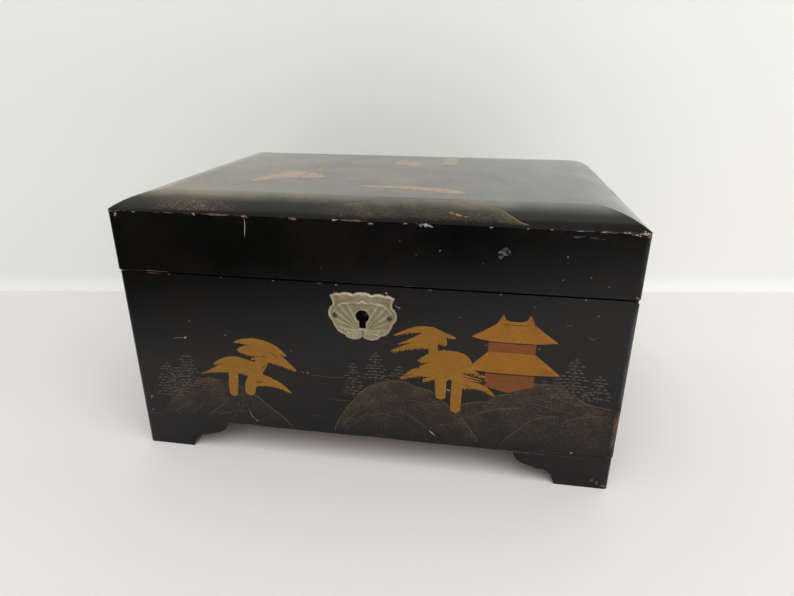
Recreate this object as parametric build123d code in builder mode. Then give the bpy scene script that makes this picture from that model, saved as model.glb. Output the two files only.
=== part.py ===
import os
from math import asin, cos, pi, radians, sin, sqrt

from build123d import *

# A lacquered wooden jewelry box: a case on four bracket feet, a lift-out tray,
# and a pillow-topped lid on two stop hinges, closed by a half-mortise box lock.
# Millimetres. The origin is on the floor under the middle of the case,
# +X runs to the right, -Y faces the front and +Z is up.

os.makedirs("parts", exist_ok=True)

# Case
body_width = 255.0
body_depth = 180.0
body_height = 86.8
wall = 8.0
rabbet_depth = 4.0
corner_radius = 2.2
bottom_thickness = 5.0
bottom_raise = 3.0
groove_depth = 3.0

# Bracket feet
foot_height = 17.7
foot_toe = 27.0
foot_reach = 49.5
foot_lean = 1.5
foot_riser = 4.0
foot_scoop_height = 8.4
foot_nose_height = 11.2
foot_nose = 5.0
glue_block = 18.0
glue_block_lift = 2.0

# Lid
lid_overhang = 0.5
parting_gap = 1.0
lid_side_height = 30.8
lid_wall = 8.0
lid_top_edge = 1.0
crown_rise = 7.3
crown_radius = 35.2

# Mirror in the lid
mirror_border = 20.0
mirror_frame_thickness = 3.0
mirror_thickness = 2.0
mirror_lap = 3.0
frame_fit = 0.3

# Velvet pads of the well
pad_thickness = 4.0
floor_pad = 2.0
pad_round = 1.2
pad_top_drop = 25.5

# Tray
tray_play = 2.0
tray_seat_gap = 0.3
tray_drop = 0.6
tray_wall = 4.0
tray_rabbet = 2.0
tray_round = 1.0
tray_floor_thickness = 3.0
divider_thickness = 3.0
divider_drop = 4.0
ring_bay_width = 88.5
ring_roll_count = 5
ring_roll_width = 17.4
ring_roll_height = 15.0
roll_gap = 0.6
soft_gap = 0.3
rear_bay_depth = 70.0
small_bay_width = 67.0
felt_thickness = 0.8
tab_width = 14.0
tab_thickness = 1.0
tab_drop = 12.0
tab_rise = 1.0

# Stop hinges
hinge_spacing = 150.0
hinge_length = 25.0
leaf_thickness = 0.8
leaf_width = 7.2
leaf_gap = 0.1
barrel_radius = 1.8
pin_radius = 0.75
pin_clearance = 0.05
knuckle_gap = 0.15
barrel_relief = 0.2
stop_radius = 3.6
stop_angle = 40.0
stop_span = 25.0
stop_slack = 0.2
opening_angle = 100.0
hinge_screw_spacing = 15.0
hinge_screw_inset = 4.4

# Wood screws
screw_radius = 0.8
screw_head_radius = 1.6
screw_length = 6.0
screw_sides = 12

# Box lock
lock_plate_width = 44.0
lock_height = 24.0
lock_plate = 1.0
lock_case_width = 34.0
lock_cap = 0.8
lock_cavity = 3.2
lock_side = 1.0
keyhole_drop = 16.1
cap_keyhole_radius = 2.0
cap_slot_width = 1.8
cap_slot_drop = 4.0
drill_pin_radius = 0.8
lock_screw_spacing = 39.0
lock_screw_drop = 12.0

# Lock bolt and the hook it catches
bolt_play = 0.1
bolt_throw = 3.5
bolt_nose_height = 2.0
bolt_tail_height = 3.5
bolt_length = 10.0
bolt_web = 6.0
bolt_tail_reach = 5.0
bolt_talon = 3.0
bolt_talon_depth = 1.8
bolt_guide = 1.0
key_way = 8.0
hook_width = 5.0
hook_thickness = 1.4
hook_drop = 8.5
hook_nose_height = 1.8
hook_notch_height = 3.0
hook_neck = 1.7
hook_clearance = 0.5
strike_width = 30.0
strike_depth = 4.0
strike_rest_gap = 0.1
strike_screw_spacing = 22.0

# Escutcheon
escutcheon_width = 34.4
escutcheon_height = 25.4
escutcheon_thickness = 0.9
escutcheon_rim = 1.3
escutcheon_rim_rise = 0.5
keyhole_radius = 3.35
keyhole_slot_width = 3.4
keyhole_slot_drop = 6.4
keyhole_collar = 1.0
nail_head_radius = 1.15
nail_head_rise = 0.7
nail_spacing = 27.2
nail_shank_radius = 0.6
nail_cover = 0.4

# Levels and spans that follow from the sizes above
body_base = foot_height
rim_level = body_base + body_height
lid_base = rim_level + parting_gap
arris_level = lid_base + lid_side_height
lid_top_seat = arris_level - lid_top_edge
crown_top = arris_level + crown_rise
crown_run = sqrt(2 * crown_radius * crown_rise - crown_rise**2)
crown_turn = asin(crown_run / crown_radius)
lid_width = body_width + 2 * lid_overhang
lid_depth = body_depth + 2 * lid_overhang
body_inner_width = body_width - 2 * wall
body_inner_depth = body_depth - 2 * wall
lid_inner_width = lid_width - 2 * lid_wall
lid_inner_depth = lid_depth - 2 * lid_wall
bottom_level = body_base + bottom_raise
bottom_top = bottom_level + bottom_thickness
bottom_width = body_inner_width + 2 * groove_depth
bottom_depth = body_inner_depth + 2 * groove_depth
pad_base = bottom_top + floor_pad
pad_top = rim_level - pad_top_drop
well_depth = body_inner_depth - 2 * pad_thickness

tray_width = body_inner_width - 2 * tray_play
tray_depth = body_inner_depth - 2 * tray_play
tray_base = pad_top + tray_seat_gap
tray_top = rim_level - tray_drop
tray_floor_top = tray_base + tray_floor_thickness
tray_inner_width = tray_width - 2 * tray_wall
tray_inner_depth = tray_depth - 2 * tray_wall
divider_top = tray_top - divider_drop
bay_left = -tray_inner_width / 2
bay_right = tray_inner_width / 2
bay_front = -tray_inner_depth / 2
bay_back = tray_inner_depth / 2
main_divider_x = bay_left + ring_bay_width
ring_pitch = ring_roll_width + roll_gap
ring_divider_y = bay_back - ring_roll_count * ring_pitch - divider_thickness
rear_divider_y = bay_back - rear_bay_depth - divider_thickness
small_divider_x = bay_right - small_bay_width - divider_thickness

hinge_y = lid_depth / 2
hinge_z = rim_level + parting_gap / 2
hinge_plane = Plane(origin=(0, hinge_y, hinge_z), x_dir=(0, 1, 0), z_dir=(1, 0, 0))
bore_radius = pin_radius + pin_clearance
relief_radius = barrel_radius + barrel_relief
knuckle_length = (hinge_length - 2 * knuckle_gap) / 3
knuckle_pitch = knuckle_length + knuckle_gap
body_leaf_top = hinge_z - leaf_gap / 2
lid_leaf_base = hinge_z + leaf_gap / 2
hinge_xs = (-hinge_spacing / 2, hinge_spacing / 2)
hinge_sides = ("left", "right")
hinge_screw_y = hinge_y - hinge_screw_inset
hinge_screw_xs = [x + s * hinge_screw_spacing / 2 for x in hinge_xs for s in (-1, 1)]

front_face = -body_depth / 2
lock_back = front_face + wall
lock_depth = lock_plate + lock_cavity + lock_cap
lock_front = lock_back - lock_depth
cavity_back = lock_back - lock_plate
cavity_front = cavity_back - lock_cavity
cavity_middle = (cavity_back + cavity_front) / 2
lock_base = rim_level - lock_height
keyhole_z = rim_level - keyhole_drop
strike_base = rim_level + strike_rest_gap
hook_tip = lid_base - hook_drop - parting_gap
hook_nose_top = hook_tip + hook_nose_height
notch_middle = hook_nose_top + hook_notch_height / 2
nail_length = escutcheon_thickness + lock_front - front_face - nail_cover
face_plane = Plane(origin=(0, front_face, keyhole_z), x_dir=(1, 0, 0), z_dir=(0, -1, 0))


def save(piece, label):
    piece.part.label = label
    export_step(piece.part, f"parts/{label}.step")


def long_wall_footprint(side, width, depth, thickness, rabbet, rounding):
    # A front or back board, rabbeted at both ends for the side boards.
    with Locations((0, side * (depth - thickness) / 2)):
        Rectangle(width, thickness)
    with Locations((0, side * (depth / 2 - thickness + rabbet / 2))):
        with GridLocations(width - thickness, 0, 2, 1):
            Rectangle(thickness, rabbet, mode=Mode.SUBTRACT)
    RectangleRounded(width, depth, rounding, mode=Mode.INTERSECT)


def side_wall_footprint(side, width, depth, thickness, rabbet, rounding):
    # A left or right board that ends in the rabbets of the long ones.
    with Locations((side * (width - thickness) / 2, 0)):
        Rectangle(thickness, depth - 2 * (thickness - rabbet))
    RectangleRounded(width, depth, rounding, mode=Mode.INTERSECT)


def keyhole_outline(radius, slot_width, slot_drop):
    Circle(radius)
    with Locations((0, -slot_drop / 2)):
        Rectangle(slot_width, slot_drop)


def sector_lines(inner_radius, outer_radius, start_angle, span):
    # The outline of a piece of a ring between two radial faces.
    turns = [radians(start_angle + span * share) for share in (0, 0.5, 1)]
    inner = [(inner_radius * cos(a), inner_radius * sin(a)) for a in turns]
    outer = [(outer_radius * cos(a), outer_radius * sin(a)) for a in turns]
    Line(inner[0], outer[0])
    ThreePointArc(*outer)
    Line(outer[2], inner[2])
    ThreePointArc(*inner)


# A countersunk wood screw with its head at zero, pointing up, down or to the front.
screw_neck = (screw_head_radius - screw_radius) * cos(pi / screw_sides)
with BuildPart() as wood_screw:
    with BuildSketch(Plane.XY):
        RegularPolygon(screw_head_radius, screw_sides)
    extrude(amount=screw_neck, taper=45)
    with BuildSketch(Plane.XY.offset(screw_neck)):
        RegularPolygon(screw_radius, screw_sides)
    extrude(amount=screw_length - screw_neck)

up_screw = wood_screw.part
down_screw = up_screw.rotate(Axis.X, 180)
front_screw = up_screw.rotate(Axis.X, 90)
body_screw_places = [(x, hinge_screw_y, body_leaf_top) for x in hinge_screw_xs]
lid_screw_places = [(x, hinge_screw_y, lid_leaf_base) for x in hinge_screw_xs]
lock_screw_z = rim_level - lock_screw_drop
lock_screw_places = [(s * lock_screw_spacing / 2, lock_back, lock_screw_z) for s in (-1, 1)]
strike_screw_places = [(s * strike_screw_spacing / 2, cavity_middle, strike_base) for s in (-1, 1)]

# The room that one closed hinge takes out of the rim and the lid.
with BuildPart() as hinge_room:
    with BuildSketch(hinge_plane.offset(-hinge_length / 2)):
        Circle(relief_radius)
        with Locations((-leaf_width / 2, 0)):
            Rectangle(leaf_width, leaf_gap + 2 * leaf_thickness)
    extrude(amount=hinge_length)

# The room that the lock takes out of the front board.
with BuildPart() as lock_room:
    with BuildSketch(Plane.XZ.offset(-lock_back)):
        with Locations((0, rim_level - lock_height / 2)):
            Rectangle(lock_plate_width, lock_height)
    extrude(amount=lock_plate)
    with BuildSketch(Plane.XY.offset(rim_level - lock_plate)):
        with Locations((0, (lock_back + lock_front) / 2)):
            Rectangle(lock_plate_width, lock_depth)
    extrude(amount=lock_plate)
    with BuildSketch(Plane.XZ.offset(-cavity_back)):
        with Locations((0, rim_level - lock_height / 2)):
            Rectangle(lock_case_width, lock_height - 2 * lock_plate)
    extrude(amount=lock_cavity + lock_cap)

# ---- Case boards
with BuildPart() as bottom_board:
    with BuildSketch(Plane.XY.offset(bottom_level)):
        Rectangle(bottom_width, bottom_depth)
    extrude(amount=bottom_thickness)
save(bottom_board, "bottom_board")

with BuildPart() as front_panel:
    with BuildSketch(Plane.XY.offset(body_base)):
        long_wall_footprint(-1, body_width, body_depth, wall, rabbet_depth, corner_radius)
    extrude(amount=body_height)
    add(bottom_board.part, mode=Mode.SUBTRACT)
    add(lock_room.part, mode=Mode.SUBTRACT)
    with BuildSketch(face_plane):
        keyhole_outline(keyhole_radius, keyhole_slot_width, keyhole_slot_drop)
    extrude(amount=-wall, mode=Mode.SUBTRACT)
    with BuildSketch(face_plane):
        with GridLocations(nail_spacing, 0, 2, 1):
            Circle(nail_shank_radius)
    extrude(amount=escutcheon_thickness - nail_length, mode=Mode.SUBTRACT)
    with Locations(*lock_screw_places):
        add(front_screw, mode=Mode.SUBTRACT)
save(front_panel, "front_panel")

with BuildPart() as back_panel:
    with BuildSketch(Plane.XY.offset(body_base)):
        long_wall_footprint(1, body_width, body_depth, wall, rabbet_depth, corner_radius)
    extrude(amount=body_height)
    add(bottom_board.part, mode=Mode.SUBTRACT)
    with GridLocations(hinge_spacing, 0, 2, 1):
        add(hinge_room.part, mode=Mode.SUBTRACT)
    with Locations(*body_screw_places):
        add(down_screw, mode=Mode.SUBTRACT)
save(back_panel, "back_panel")

for side, label in ((-1, "left_panel"), (1, "right_panel")):
    with BuildPart() as side_panel:
        with BuildSketch(Plane.XY.offset(body_base)):
            side_wall_footprint(side, body_width, body_depth, wall, rabbet_depth, corner_radius)
        extrude(amount=body_height)
        add(bottom_board.part, mode=Mode.SUBTRACT)
    save(side_panel, label)

# ---- Bracket feet: two mitred boards at each corner, with a scooped toe
for side_x, name_x in ((-1, "left"), (1, "right")):
    for side_y, name_y in ((-1, "front"), (1, "back")):
        corner = (side_x * body_width / 2, side_y * body_depth / 2)
        runs = (
            ("long", (-side_x, 0, 0), (0, side_x, 0), -side_x * side_y),
            ("side", (0, -side_y, 0), (-side_y, 0, 0), side_x * side_y),
        )
        for name_run, along, outward, inward in runs:
            board_plane = Plane(origin=(*corner, 0), x_dir=along, z_dir=outward)
            with BuildPart() as foot_board:
                with BuildSketch(board_plane):
                    with BuildLine():
                        riser_top = (foot_toe + foot_lean, foot_riser)
                        scoop_end = (foot_reach - foot_nose, foot_nose_height)
                        Polyline((foot_toe, 0), (0, 0), (0, foot_height), (foot_reach, foot_height))
                        Line((foot_toe, 0), riser_top)
                        scoop = ThreePointArc(
                            riser_top,
                            (foot_toe + 3 * foot_lean, foot_scoop_height - foot_lean / 2),
                            (foot_toe + 6 * foot_lean, foot_scoop_height),
                        )
                        Line(scoop @ 1, scoop_end)
                        ThreePointArc(
                            scoop_end,
                            (foot_reach - foot_nose / 4, (foot_height + foot_nose_height) / 2),
                            (foot_reach, foot_height),
                        )
                    make_face()
                extrude(amount=inward * wall)
                with BuildSketch(Plane.XY):
                    mitre = (-side_x * wall, -side_y * wall)
                    outer_end = (along[0] * foot_reach, along[1] * foot_reach)
                    inner_end = tuple(e if e else m for e, m in zip(outer_end, mitre))
                    with Locations(corner):
                        Polygon((0, 0), outer_end, inner_end, mitre, align=None)
                    RectangleRounded(body_width, body_depth, corner_radius, mode=Mode.INTERSECT)
                extrude(amount=foot_height, mode=Mode.INTERSECT)
            save(foot_board, f"foot_{name_y}_{name_x}_{name_run}")

with BuildPart() as foot_glue_blocks:
    with BuildSketch(Plane.XY.offset(glue_block_lift)):
        for side_x in (-1, 1):
            for side_y in (-1, 1):
                with Locations((side_x * body_inner_width / 2, side_y * body_inner_depth / 2)):
                    Polygon((0, 0), (-side_x * glue_block, 0), (0, -side_y * glue_block), align=None)
    extrude(amount=bottom_level - glue_block_lift)
save(foot_glue_blocks, "foot_glue_blocks")

# ---- Velvet pads of the well
with BuildPart() as floor_lining:
    with BuildSketch(Plane.XY.offset(bottom_top)):
        Rectangle(body_inner_width, body_inner_depth)
    extrude(amount=floor_pad)
save(floor_lining, "floor_lining")

pad_runs = (
    ("front_lining", 0, -1, body_inner_width, pad_thickness, Axis.Y, -1),
    ("back_lining", 0, 1, body_inner_width, pad_thickness, Axis.Y, 0),
    ("left_lining", -1, 0, pad_thickness, well_depth, Axis.X, -1),
    ("right_lining", 1, 0, pad_thickness, well_depth, Axis.X, 0),
)
for label, side_x, side_y, length_x, length_y, across, inner_edge in pad_runs:
    pad_x = side_x * (body_inner_width - pad_thickness) / 2
    pad_y = side_y * (body_inner_depth - pad_thickness) / 2
    with BuildPart() as pad:
        with BuildSketch(Plane.XY.offset(pad_base)):
            with Locations((pad_x, pad_y)):
                Rectangle(length_x, length_y)
        extrude(amount=pad_top - pad_base)
        fillet(pad.faces().sort_by(Axis.Z)[-1].edges().sort_by(across)[inner_edge], pad_round)
    save(pad, label)

# ---- Half-mortise box lock
with BuildPart() as lock_cover:
    with BuildSketch(Plane.XZ.offset(-cavity_front)):
        with Locations((0, rim_level - lock_height / 2)):
            Rectangle(lock_case_width, lock_height - 2 * lock_plate)
        with Locations((0, keyhole_z)):
            Circle(cap_keyhole_radius, mode=Mode.SUBTRACT)
        with Locations((0, keyhole_z - cap_slot_drop / 2)):
            Rectangle(cap_slot_width, cap_slot_drop, mode=Mode.SUBTRACT)
    extrude(amount=lock_cap)
save(lock_cover, "lock_cover")

slot_half = hook_width / 2 + hook_clearance
bolt_top = notch_middle + bolt_nose_height / 2
tail_top = hook_tip - hook_clearance
tail_base = tail_top - bolt_tail_height
inner_half = lock_case_width / 2 - lock_side

with BuildPart() as lock_case:
    add(lock_room.part)
    with BuildSketch(Plane.XZ.offset(-cavity_front)):
        with Locations((0, rim_level - lock_height / 2)):
            Rectangle(lock_case_width, lock_height - 2 * lock_plate)
    extrude(amount=lock_cap, mode=Mode.SUBTRACT)
    cavity_base = lock_base + lock_plate + lock_side
    cavity_top = rim_level - lock_plate
    with BuildSketch(Plane.XZ.offset(-cavity_back)):
        with Locations((0, (cavity_base + cavity_top) / 2)):
            Rectangle(2 * inner_half, cavity_top - cavity_base)
        guide_length = inner_half - key_way / 2
        guide_x = (inner_half + key_way / 2) / 2
        with Locations((-guide_x, bolt_top + bolt_play + bolt_guide / 2)):
            Rectangle(guide_length, bolt_guide, mode=Mode.SUBTRACT)
        with Locations((-guide_x, tail_base - bolt_play - bolt_guide / 2)):
            Rectangle(guide_length, bolt_guide, mode=Mode.SUBTRACT)
        with Locations((guide_x, tail_base - bolt_play - bolt_guide / 2)):
            Rectangle(guide_length, bolt_guide, mode=Mode.SUBTRACT)
    extrude(amount=lock_cavity, mode=Mode.SUBTRACT)
    with BuildSketch(Plane.XY.offset(rim_level)):
        with Locations((0, cavity_middle)):
            Rectangle(2 * slot_half, hook_thickness + 2 * hook_clearance)
    extrude(amount=-lock_plate, mode=Mode.SUBTRACT)
    with Locations(*lock_screw_places):
        add(front_screw, mode=Mode.SUBTRACT)
save(lock_case, "lock_case")

with BuildPart() as lock_drill_pin:
    with BuildSketch(Plane.XZ.offset(-cavity_back)):
        with Locations((0, keyhole_z)):
            Circle(drill_pin_radius)
    extrude(amount=lock_cavity)
save(lock_drill_pin, "lock_drill_pin")

with BuildPart() as lock_screws:
    with Locations(*lock_screw_places):
        add(front_screw)
save(lock_screws, "lock_screws")

with BuildPart() as lock_bolt:
    with BuildSketch(Plane.XZ.offset(bolt_play - cavity_back)):
        bolt_left = -slot_half - bolt_length
        with Locations((bolt_left, bolt_top)):
            Rectangle(bolt_length, bolt_nose_height, align=(Align.MIN, Align.MAX))
        with Locations((bolt_left, bolt_top)):
            Rectangle(bolt_web, bolt_top - tail_base, align=(Align.MIN, Align.MAX))
        with Locations((bolt_left, tail_base)):
            Rectangle(bolt_tail_reach - bolt_left, bolt_tail_height, align=(Align.MIN, Align.MIN))
        with Locations((0, tail_base)):
            Rectangle(bolt_talon, 2 * bolt_talon_depth, mode=Mode.SUBTRACT)
    extrude(amount=lock_cavity - 2 * bolt_play)
save(lock_bolt, "lock_bolt")

# ---- Escutcheon: half of its outline as arcs, each a middle point and an end,
# in shares of the plate's half width and half height
escutcheon_start = (0, 0.945)
escutcheon_arcs = (
    ((0.142, 1.0), (0.285, 0.945)),
    ((0.427, 0.995), (0.57, 0.93)),
    ((0.72, 0.965), (0.865, 0.86)),
    ((0.925, 0.85), (0.945, 0.775)),
    ((0.892, 0.575), (0.878, 0.39)),
    ((1.0, 0.03), (0.89, -0.25)),
    ((0.86, -0.4), (0.79, -0.56)),
    ((0.71, -0.72), (0.58, -0.795)),
    ((0.52, -0.84), (0.488, -0.905)),
    ((0.28, -1.0), (0.0, -0.875)),
)


def escutcheon_outline():
    start = (0, escutcheon_start[1] * escutcheon_height / 2)
    for middle, end in escutcheon_arcs:
        middle_point = (middle[0] * escutcheon_width / 2, middle[1] * escutcheon_height / 2)
        end_point = (end[0] * escutcheon_width / 2, end[1] * escutcheon_height / 2)
        ThreePointArc(start, middle_point, end_point)
        start = end_point
    mirror(about=Plane.YZ)


with BuildPart() as escutcheon:
    with BuildSketch(face_plane):
        with BuildLine():
            escutcheon_outline()
        make_face()
    extrude(amount=escutcheon_thickness)
    with BuildSketch(face_plane.offset(escutcheon_thickness)):
        with BuildLine():
            escutcheon_outline()
        make_face()
        offset(amount=-escutcheon_rim, mode=Mode.SUBTRACT)
    extrude(amount=escutcheon_rim_rise)
    with BuildSketch(face_plane.offset(escutcheon_thickness)):
        keyhole_outline(
            keyhole_radius + keyhole_collar,
            keyhole_slot_width + 2 * keyhole_collar,
            keyhole_slot_drop + keyhole_collar,
        )
    extrude(amount=escutcheon_rim_rise)
    with BuildSketch(face_plane):
        keyhole_outline(keyhole_radius, keyhole_slot_width, keyhole_slot_drop)
    extrude(amount=escutcheon_thickness + escutcheon_rim_rise, mode=Mode.SUBTRACT)
    with BuildSketch(face_plane):
        with GridLocations(nail_spacing, 0, 2, 1):
            Circle(nail_shank_radius)
    extrude(amount=escutcheon_thickness, mode=Mode.SUBTRACT)
save(escutcheon, "escutcheon")

with BuildPart() as escutcheon_nails:
    with BuildSketch(face_plane.offset(escutcheon_thickness)):
        with GridLocations(nail_spacing, 0, 2, 1):
            Circle(nail_head_radius)
    extrude(amount=nail_head_rise)
    chamfer(escutcheon_nails.faces().sort_by(Axis.Y)[0:2].edges(), nail_head_rise * 0.5)
    with BuildSketch(face_plane.offset(escutcheon_thickness)):
        with GridLocations(nail_spacing, 0, 2, 1):
            Circle(nail_shank_radius)
    extrude(amount=-nail_length)
save(escutcheon_nails, "escutcheon_nails")

# ---- Stop hinges


def hinge_leaf(center_x, level_sign, own_knuckles, stop_start):
    # One leaf: its plate, its knuckles, and a stop that reaches past both.
    left_end = center_x - hinge_length / 2
    with BuildPart() as leaf:
        with BuildSketch(hinge_plane.offset(left_end)):
            with Locations((-leaf_width / 2, level_sign * (leaf_gap + leaf_thickness) / 2)):
                Rectangle(leaf_width, leaf_thickness)
        extrude(amount=hinge_length)
        for k in range(3):
            if k not in own_knuckles:
                with BuildSketch(hinge_plane.offset(left_end + k * knuckle_pitch - knuckle_gap)):
                    Circle(barrel_radius + knuckle_gap)
                extrude(amount=knuckle_length + 2 * knuckle_gap, mode=Mode.SUBTRACT)
        for k in own_knuckles:
            with BuildSketch(hinge_plane.offset(left_end + k * knuckle_pitch)):
                Circle(barrel_radius)
            extrude(amount=knuckle_length)
            with BuildSketch(hinge_plane.offset(left_end + k * knuckle_pitch)):
                with BuildLine():
                    root_radius = (bore_radius + barrel_radius) / 2
                    sector_lines(root_radius, stop_radius, stop_start, stop_span)
                make_face()
            extrude(amount=knuckle_length)
        with BuildSketch(hinge_plane.offset(left_end)):
            with BuildLine():
                sector_lines(barrel_radius + knuckle_gap, stop_radius, stop_start, stop_span)
            make_face()
        extrude(amount=hinge_length)
        with BuildSketch(hinge_plane.offset(left_end)):
            Circle(bore_radius)
        extrude(amount=hinge_length, mode=Mode.SUBTRACT)
    return leaf


lid_stop_start = opening_angle - stop_angle + stop_slack
for center_x, name in zip(hinge_xs, hinge_sides):
    body_leaf = hinge_leaf(center_x, -1, (0, 2), -stop_angle - stop_span)
    with BuildPart() as drilled_body_leaf:
        add(body_leaf.part)
        with Locations(*body_screw_places):
            add(down_screw, mode=Mode.SUBTRACT)
    save(drilled_body_leaf, f"hinge_{name}_body_leaf")

    lid_leaf = hinge_leaf(center_x, 1, (1,), lid_stop_start)
    with BuildPart() as drilled_lid_leaf:
        add(lid_leaf.part)
        with Locations(*lid_screw_places):
            add(up_screw, mode=Mode.SUBTRACT)
    save(drilled_lid_leaf, f"hinge_{name}_lid_leaf")

    with BuildPart() as hinge_pin:
        with BuildSketch(hinge_plane.offset(center_x - hinge_length / 2)):
            Circle(pin_radius)
        extrude(amount=hinge_length)
    save(hinge_pin, f"hinge_{name}_pin")

with BuildPart() as hinge_body_screws:
    with Locations(*body_screw_places):
        add(down_screw)
save(hinge_body_screws, "hinge_body_screws")

with BuildPart() as hinge_lid_screws:
    with Locations(*lid_screw_places):
        add(up_screw)
save(hinge_lid_screws, "hinge_lid_screws")

# ---- Lid
with BuildPart() as strike_plate:
    with BuildSketch(Plane.XY.offset(strike_base)):
        with Locations((0, cavity_middle)):
            Rectangle(strike_width, strike_depth)
    extrude(amount=lid_base - strike_base)
    with BuildSketch(Plane.XZ.offset(hook_thickness / 2 - cavity_middle)):
        with Locations((0, hook_tip)):
            Rectangle(hook_width, strike_base - hook_tip, align=(Align.CENTER, Align.MIN))
        with Locations((-hook_width / 2, hook_nose_top)):
            Rectangle(
                hook_width - hook_neck,
                hook_notch_height,
                align=(Align.MIN, Align.MIN),
                mode=Mode.SUBTRACT,
            )
    extrude(amount=-hook_thickness)
    with Locations(*strike_screw_places):
        add(up_screw, mode=Mode.SUBTRACT)
save(strike_plate, "strike_plate")

with BuildPart() as strike_screws:
    with Locations(*strike_screw_places):
        add(up_screw)
save(strike_screws, "strike_screws")

with BuildPart() as lid_front_rail:
    with BuildSketch(Plane.XY.offset(lid_base)):
        long_wall_footprint(-1, lid_width, lid_depth, lid_wall, rabbet_depth, corner_radius)
    extrude(amount=lid_top_seat - lid_base)
    with Locations(*strike_screw_places):
        add(up_screw, mode=Mode.SUBTRACT)
save(lid_front_rail, "lid_front_rail")

with BuildPart() as lid_back_rail:
    with BuildSketch(Plane.XY.offset(lid_base)):
        long_wall_footprint(1, lid_width, lid_depth, lid_wall, rabbet_depth, corner_radius)
    extrude(amount=lid_top_seat - lid_base)
    with GridLocations(hinge_spacing, 0, 2, 1):
        add(hinge_room.part, mode=Mode.SUBTRACT)
    with Locations(*lid_screw_places):
        add(up_screw, mode=Mode.SUBTRACT)
save(lid_back_rail, "lid_back_rail")

for side, label in ((-1, "lid_left_rail"), (1, "lid_right_rail")):
    with BuildPart() as side_rail:
        with BuildSketch(Plane.XY.offset(lid_base)):
            side_wall_footprint(side, lid_width, lid_depth, lid_wall, rabbet_depth, corner_radius)
        extrude(amount=lid_top_seat - lid_base)
    save(side_rail, label)


def crown_outline(half_span):
    # The lid top's section: a flat middle that rolls down to a sharp arris.
    flat_half = half_span - crown_run
    center_level = crown_top - crown_radius
    bend = crown_turn / 2
    bend_span = flat_half + crown_radius * sin(bend)
    bend_level = center_level + crown_radius * cos(bend)
    Polyline(
        (-half_span, arris_level),
        (-half_span, lid_top_seat),
        (half_span, lid_top_seat),
        (half_span, arris_level),
    )
    ThreePointArc((half_span, arris_level), (bend_span, bend_level), (flat_half, crown_top))
    Line((flat_half, crown_top), (-flat_half, crown_top))
    ThreePointArc((-flat_half, crown_top), (-bend_span, bend_level), (-half_span, arris_level))


with BuildPart() as lid_top:
    with BuildSketch(Plane.XZ):
        with BuildLine():
            crown_outline(lid_width / 2)
        make_face()
    extrude(amount=lid_depth / 2, both=True)
    with BuildSketch(Plane.YZ):
        with BuildLine():
            crown_outline(lid_depth / 2)
        make_face()
    extrude(amount=lid_width / 2, both=True, mode=Mode.INTERSECT)
    fillet(lid_top.edges().filter_by(Axis.Z), corner_radius)
save(lid_top, "lid_top")

frame_width = lid_inner_width - 2 * frame_fit
frame_depth = lid_inner_depth - 2 * frame_fit
window_width = frame_width - 2 * mirror_border
window_depth = frame_depth - 2 * mirror_border

with BuildPart() as mirror_glass:
    with BuildSketch(Plane.XY.offset(lid_top_seat)):
        Rectangle(window_width + 2 * mirror_lap, window_depth + 2 * mirror_lap)
    extrude(amount=-mirror_thickness)
save(mirror_glass, "mirror_glass")

with BuildPart() as mirror_frame:
    with BuildSketch(Plane.XY.offset(lid_top_seat)):
        Rectangle(frame_width, frame_depth)
        Rectangle(window_width, window_depth, mode=Mode.SUBTRACT)
    extrude(amount=-mirror_frame_thickness)
    add(mirror_glass.part, mode=Mode.SUBTRACT)
save(mirror_frame, "mirror_frame")

# ---- Lift-out tray
with BuildPart() as tray_floor:
    with BuildSketch(Plane.XY.offset(tray_base)):
        Rectangle(tray_inner_width + 2 * tray_rabbet, tray_inner_depth + 2 * tray_rabbet)
    extrude(amount=tray_floor_thickness)
save(tray_floor, "tray_floor")

for side, label in ((-1, "tray_front"), (1, "tray_back")):
    with BuildPart() as tray_long:
        with BuildSketch(Plane.XY.offset(tray_base)):
            long_wall_footprint(side, tray_width, tray_depth, tray_wall, tray_rabbet, tray_round)
        extrude(amount=tray_top - tray_base)
        add(tray_floor.part, mode=Mode.SUBTRACT)
    save(tray_long, label)

for side, label in ((-1, "tray_left"), (1, "tray_right")):
    with BuildPart() as tray_short:
        with BuildSketch(Plane.XY.offset(tray_base)):
            side_wall_footprint(side, tray_width, tray_depth, tray_wall, tray_rabbet, tray_round)
        extrude(amount=tray_top - tray_base)
        add(tray_floor.part, mode=Mode.SUBTRACT)
    save(tray_short, label)

# Each strip runs between two X and two Y limits.
right_bay_left = main_divider_x + divider_thickness
dividers = (
    ("divider_main", main_divider_x, right_bay_left, bay_front, bay_back),
    ("divider_ring", bay_left, main_divider_x, ring_divider_y, ring_divider_y + divider_thickness),
    ("divider_rear", right_bay_left, bay_right, rear_divider_y, rear_divider_y + divider_thickness),
    ("divider_small", small_divider_x, small_divider_x + divider_thickness, bay_front, rear_divider_y),
)
for label, left, right, front, back in dividers:
    with BuildPart() as divider:
        with BuildSketch(Plane.XY.offset(tray_floor_top)):
            with Locations((left, front)):
                Rectangle(right - left, back - front, align=(Align.MIN, Align.MIN))
        extrude(amount=divider_top - tray_floor_top)
    save(divider, label)

bays = (
    (bay_left, main_divider_x, bay_front, ring_divider_y),
    (right_bay_left, bay_right, rear_divider_y + divider_thickness, bay_back),
    (right_bay_left, small_divider_x, bay_front, rear_divider_y),
    (small_divider_x + divider_thickness, bay_right, bay_front, rear_divider_y),
)
with BuildPart() as tray_felts:
    with BuildSketch(Plane.XY.offset(tray_floor_top)):
        for left, right, front, back in bays:
            with Locations(((left + right) / 2, (front + back) / 2)):
                Rectangle(right - left - 2 * soft_gap, back - front - 2 * soft_gap)
    extrude(amount=felt_thickness)
save(tray_felts, "tray_felts")

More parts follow.
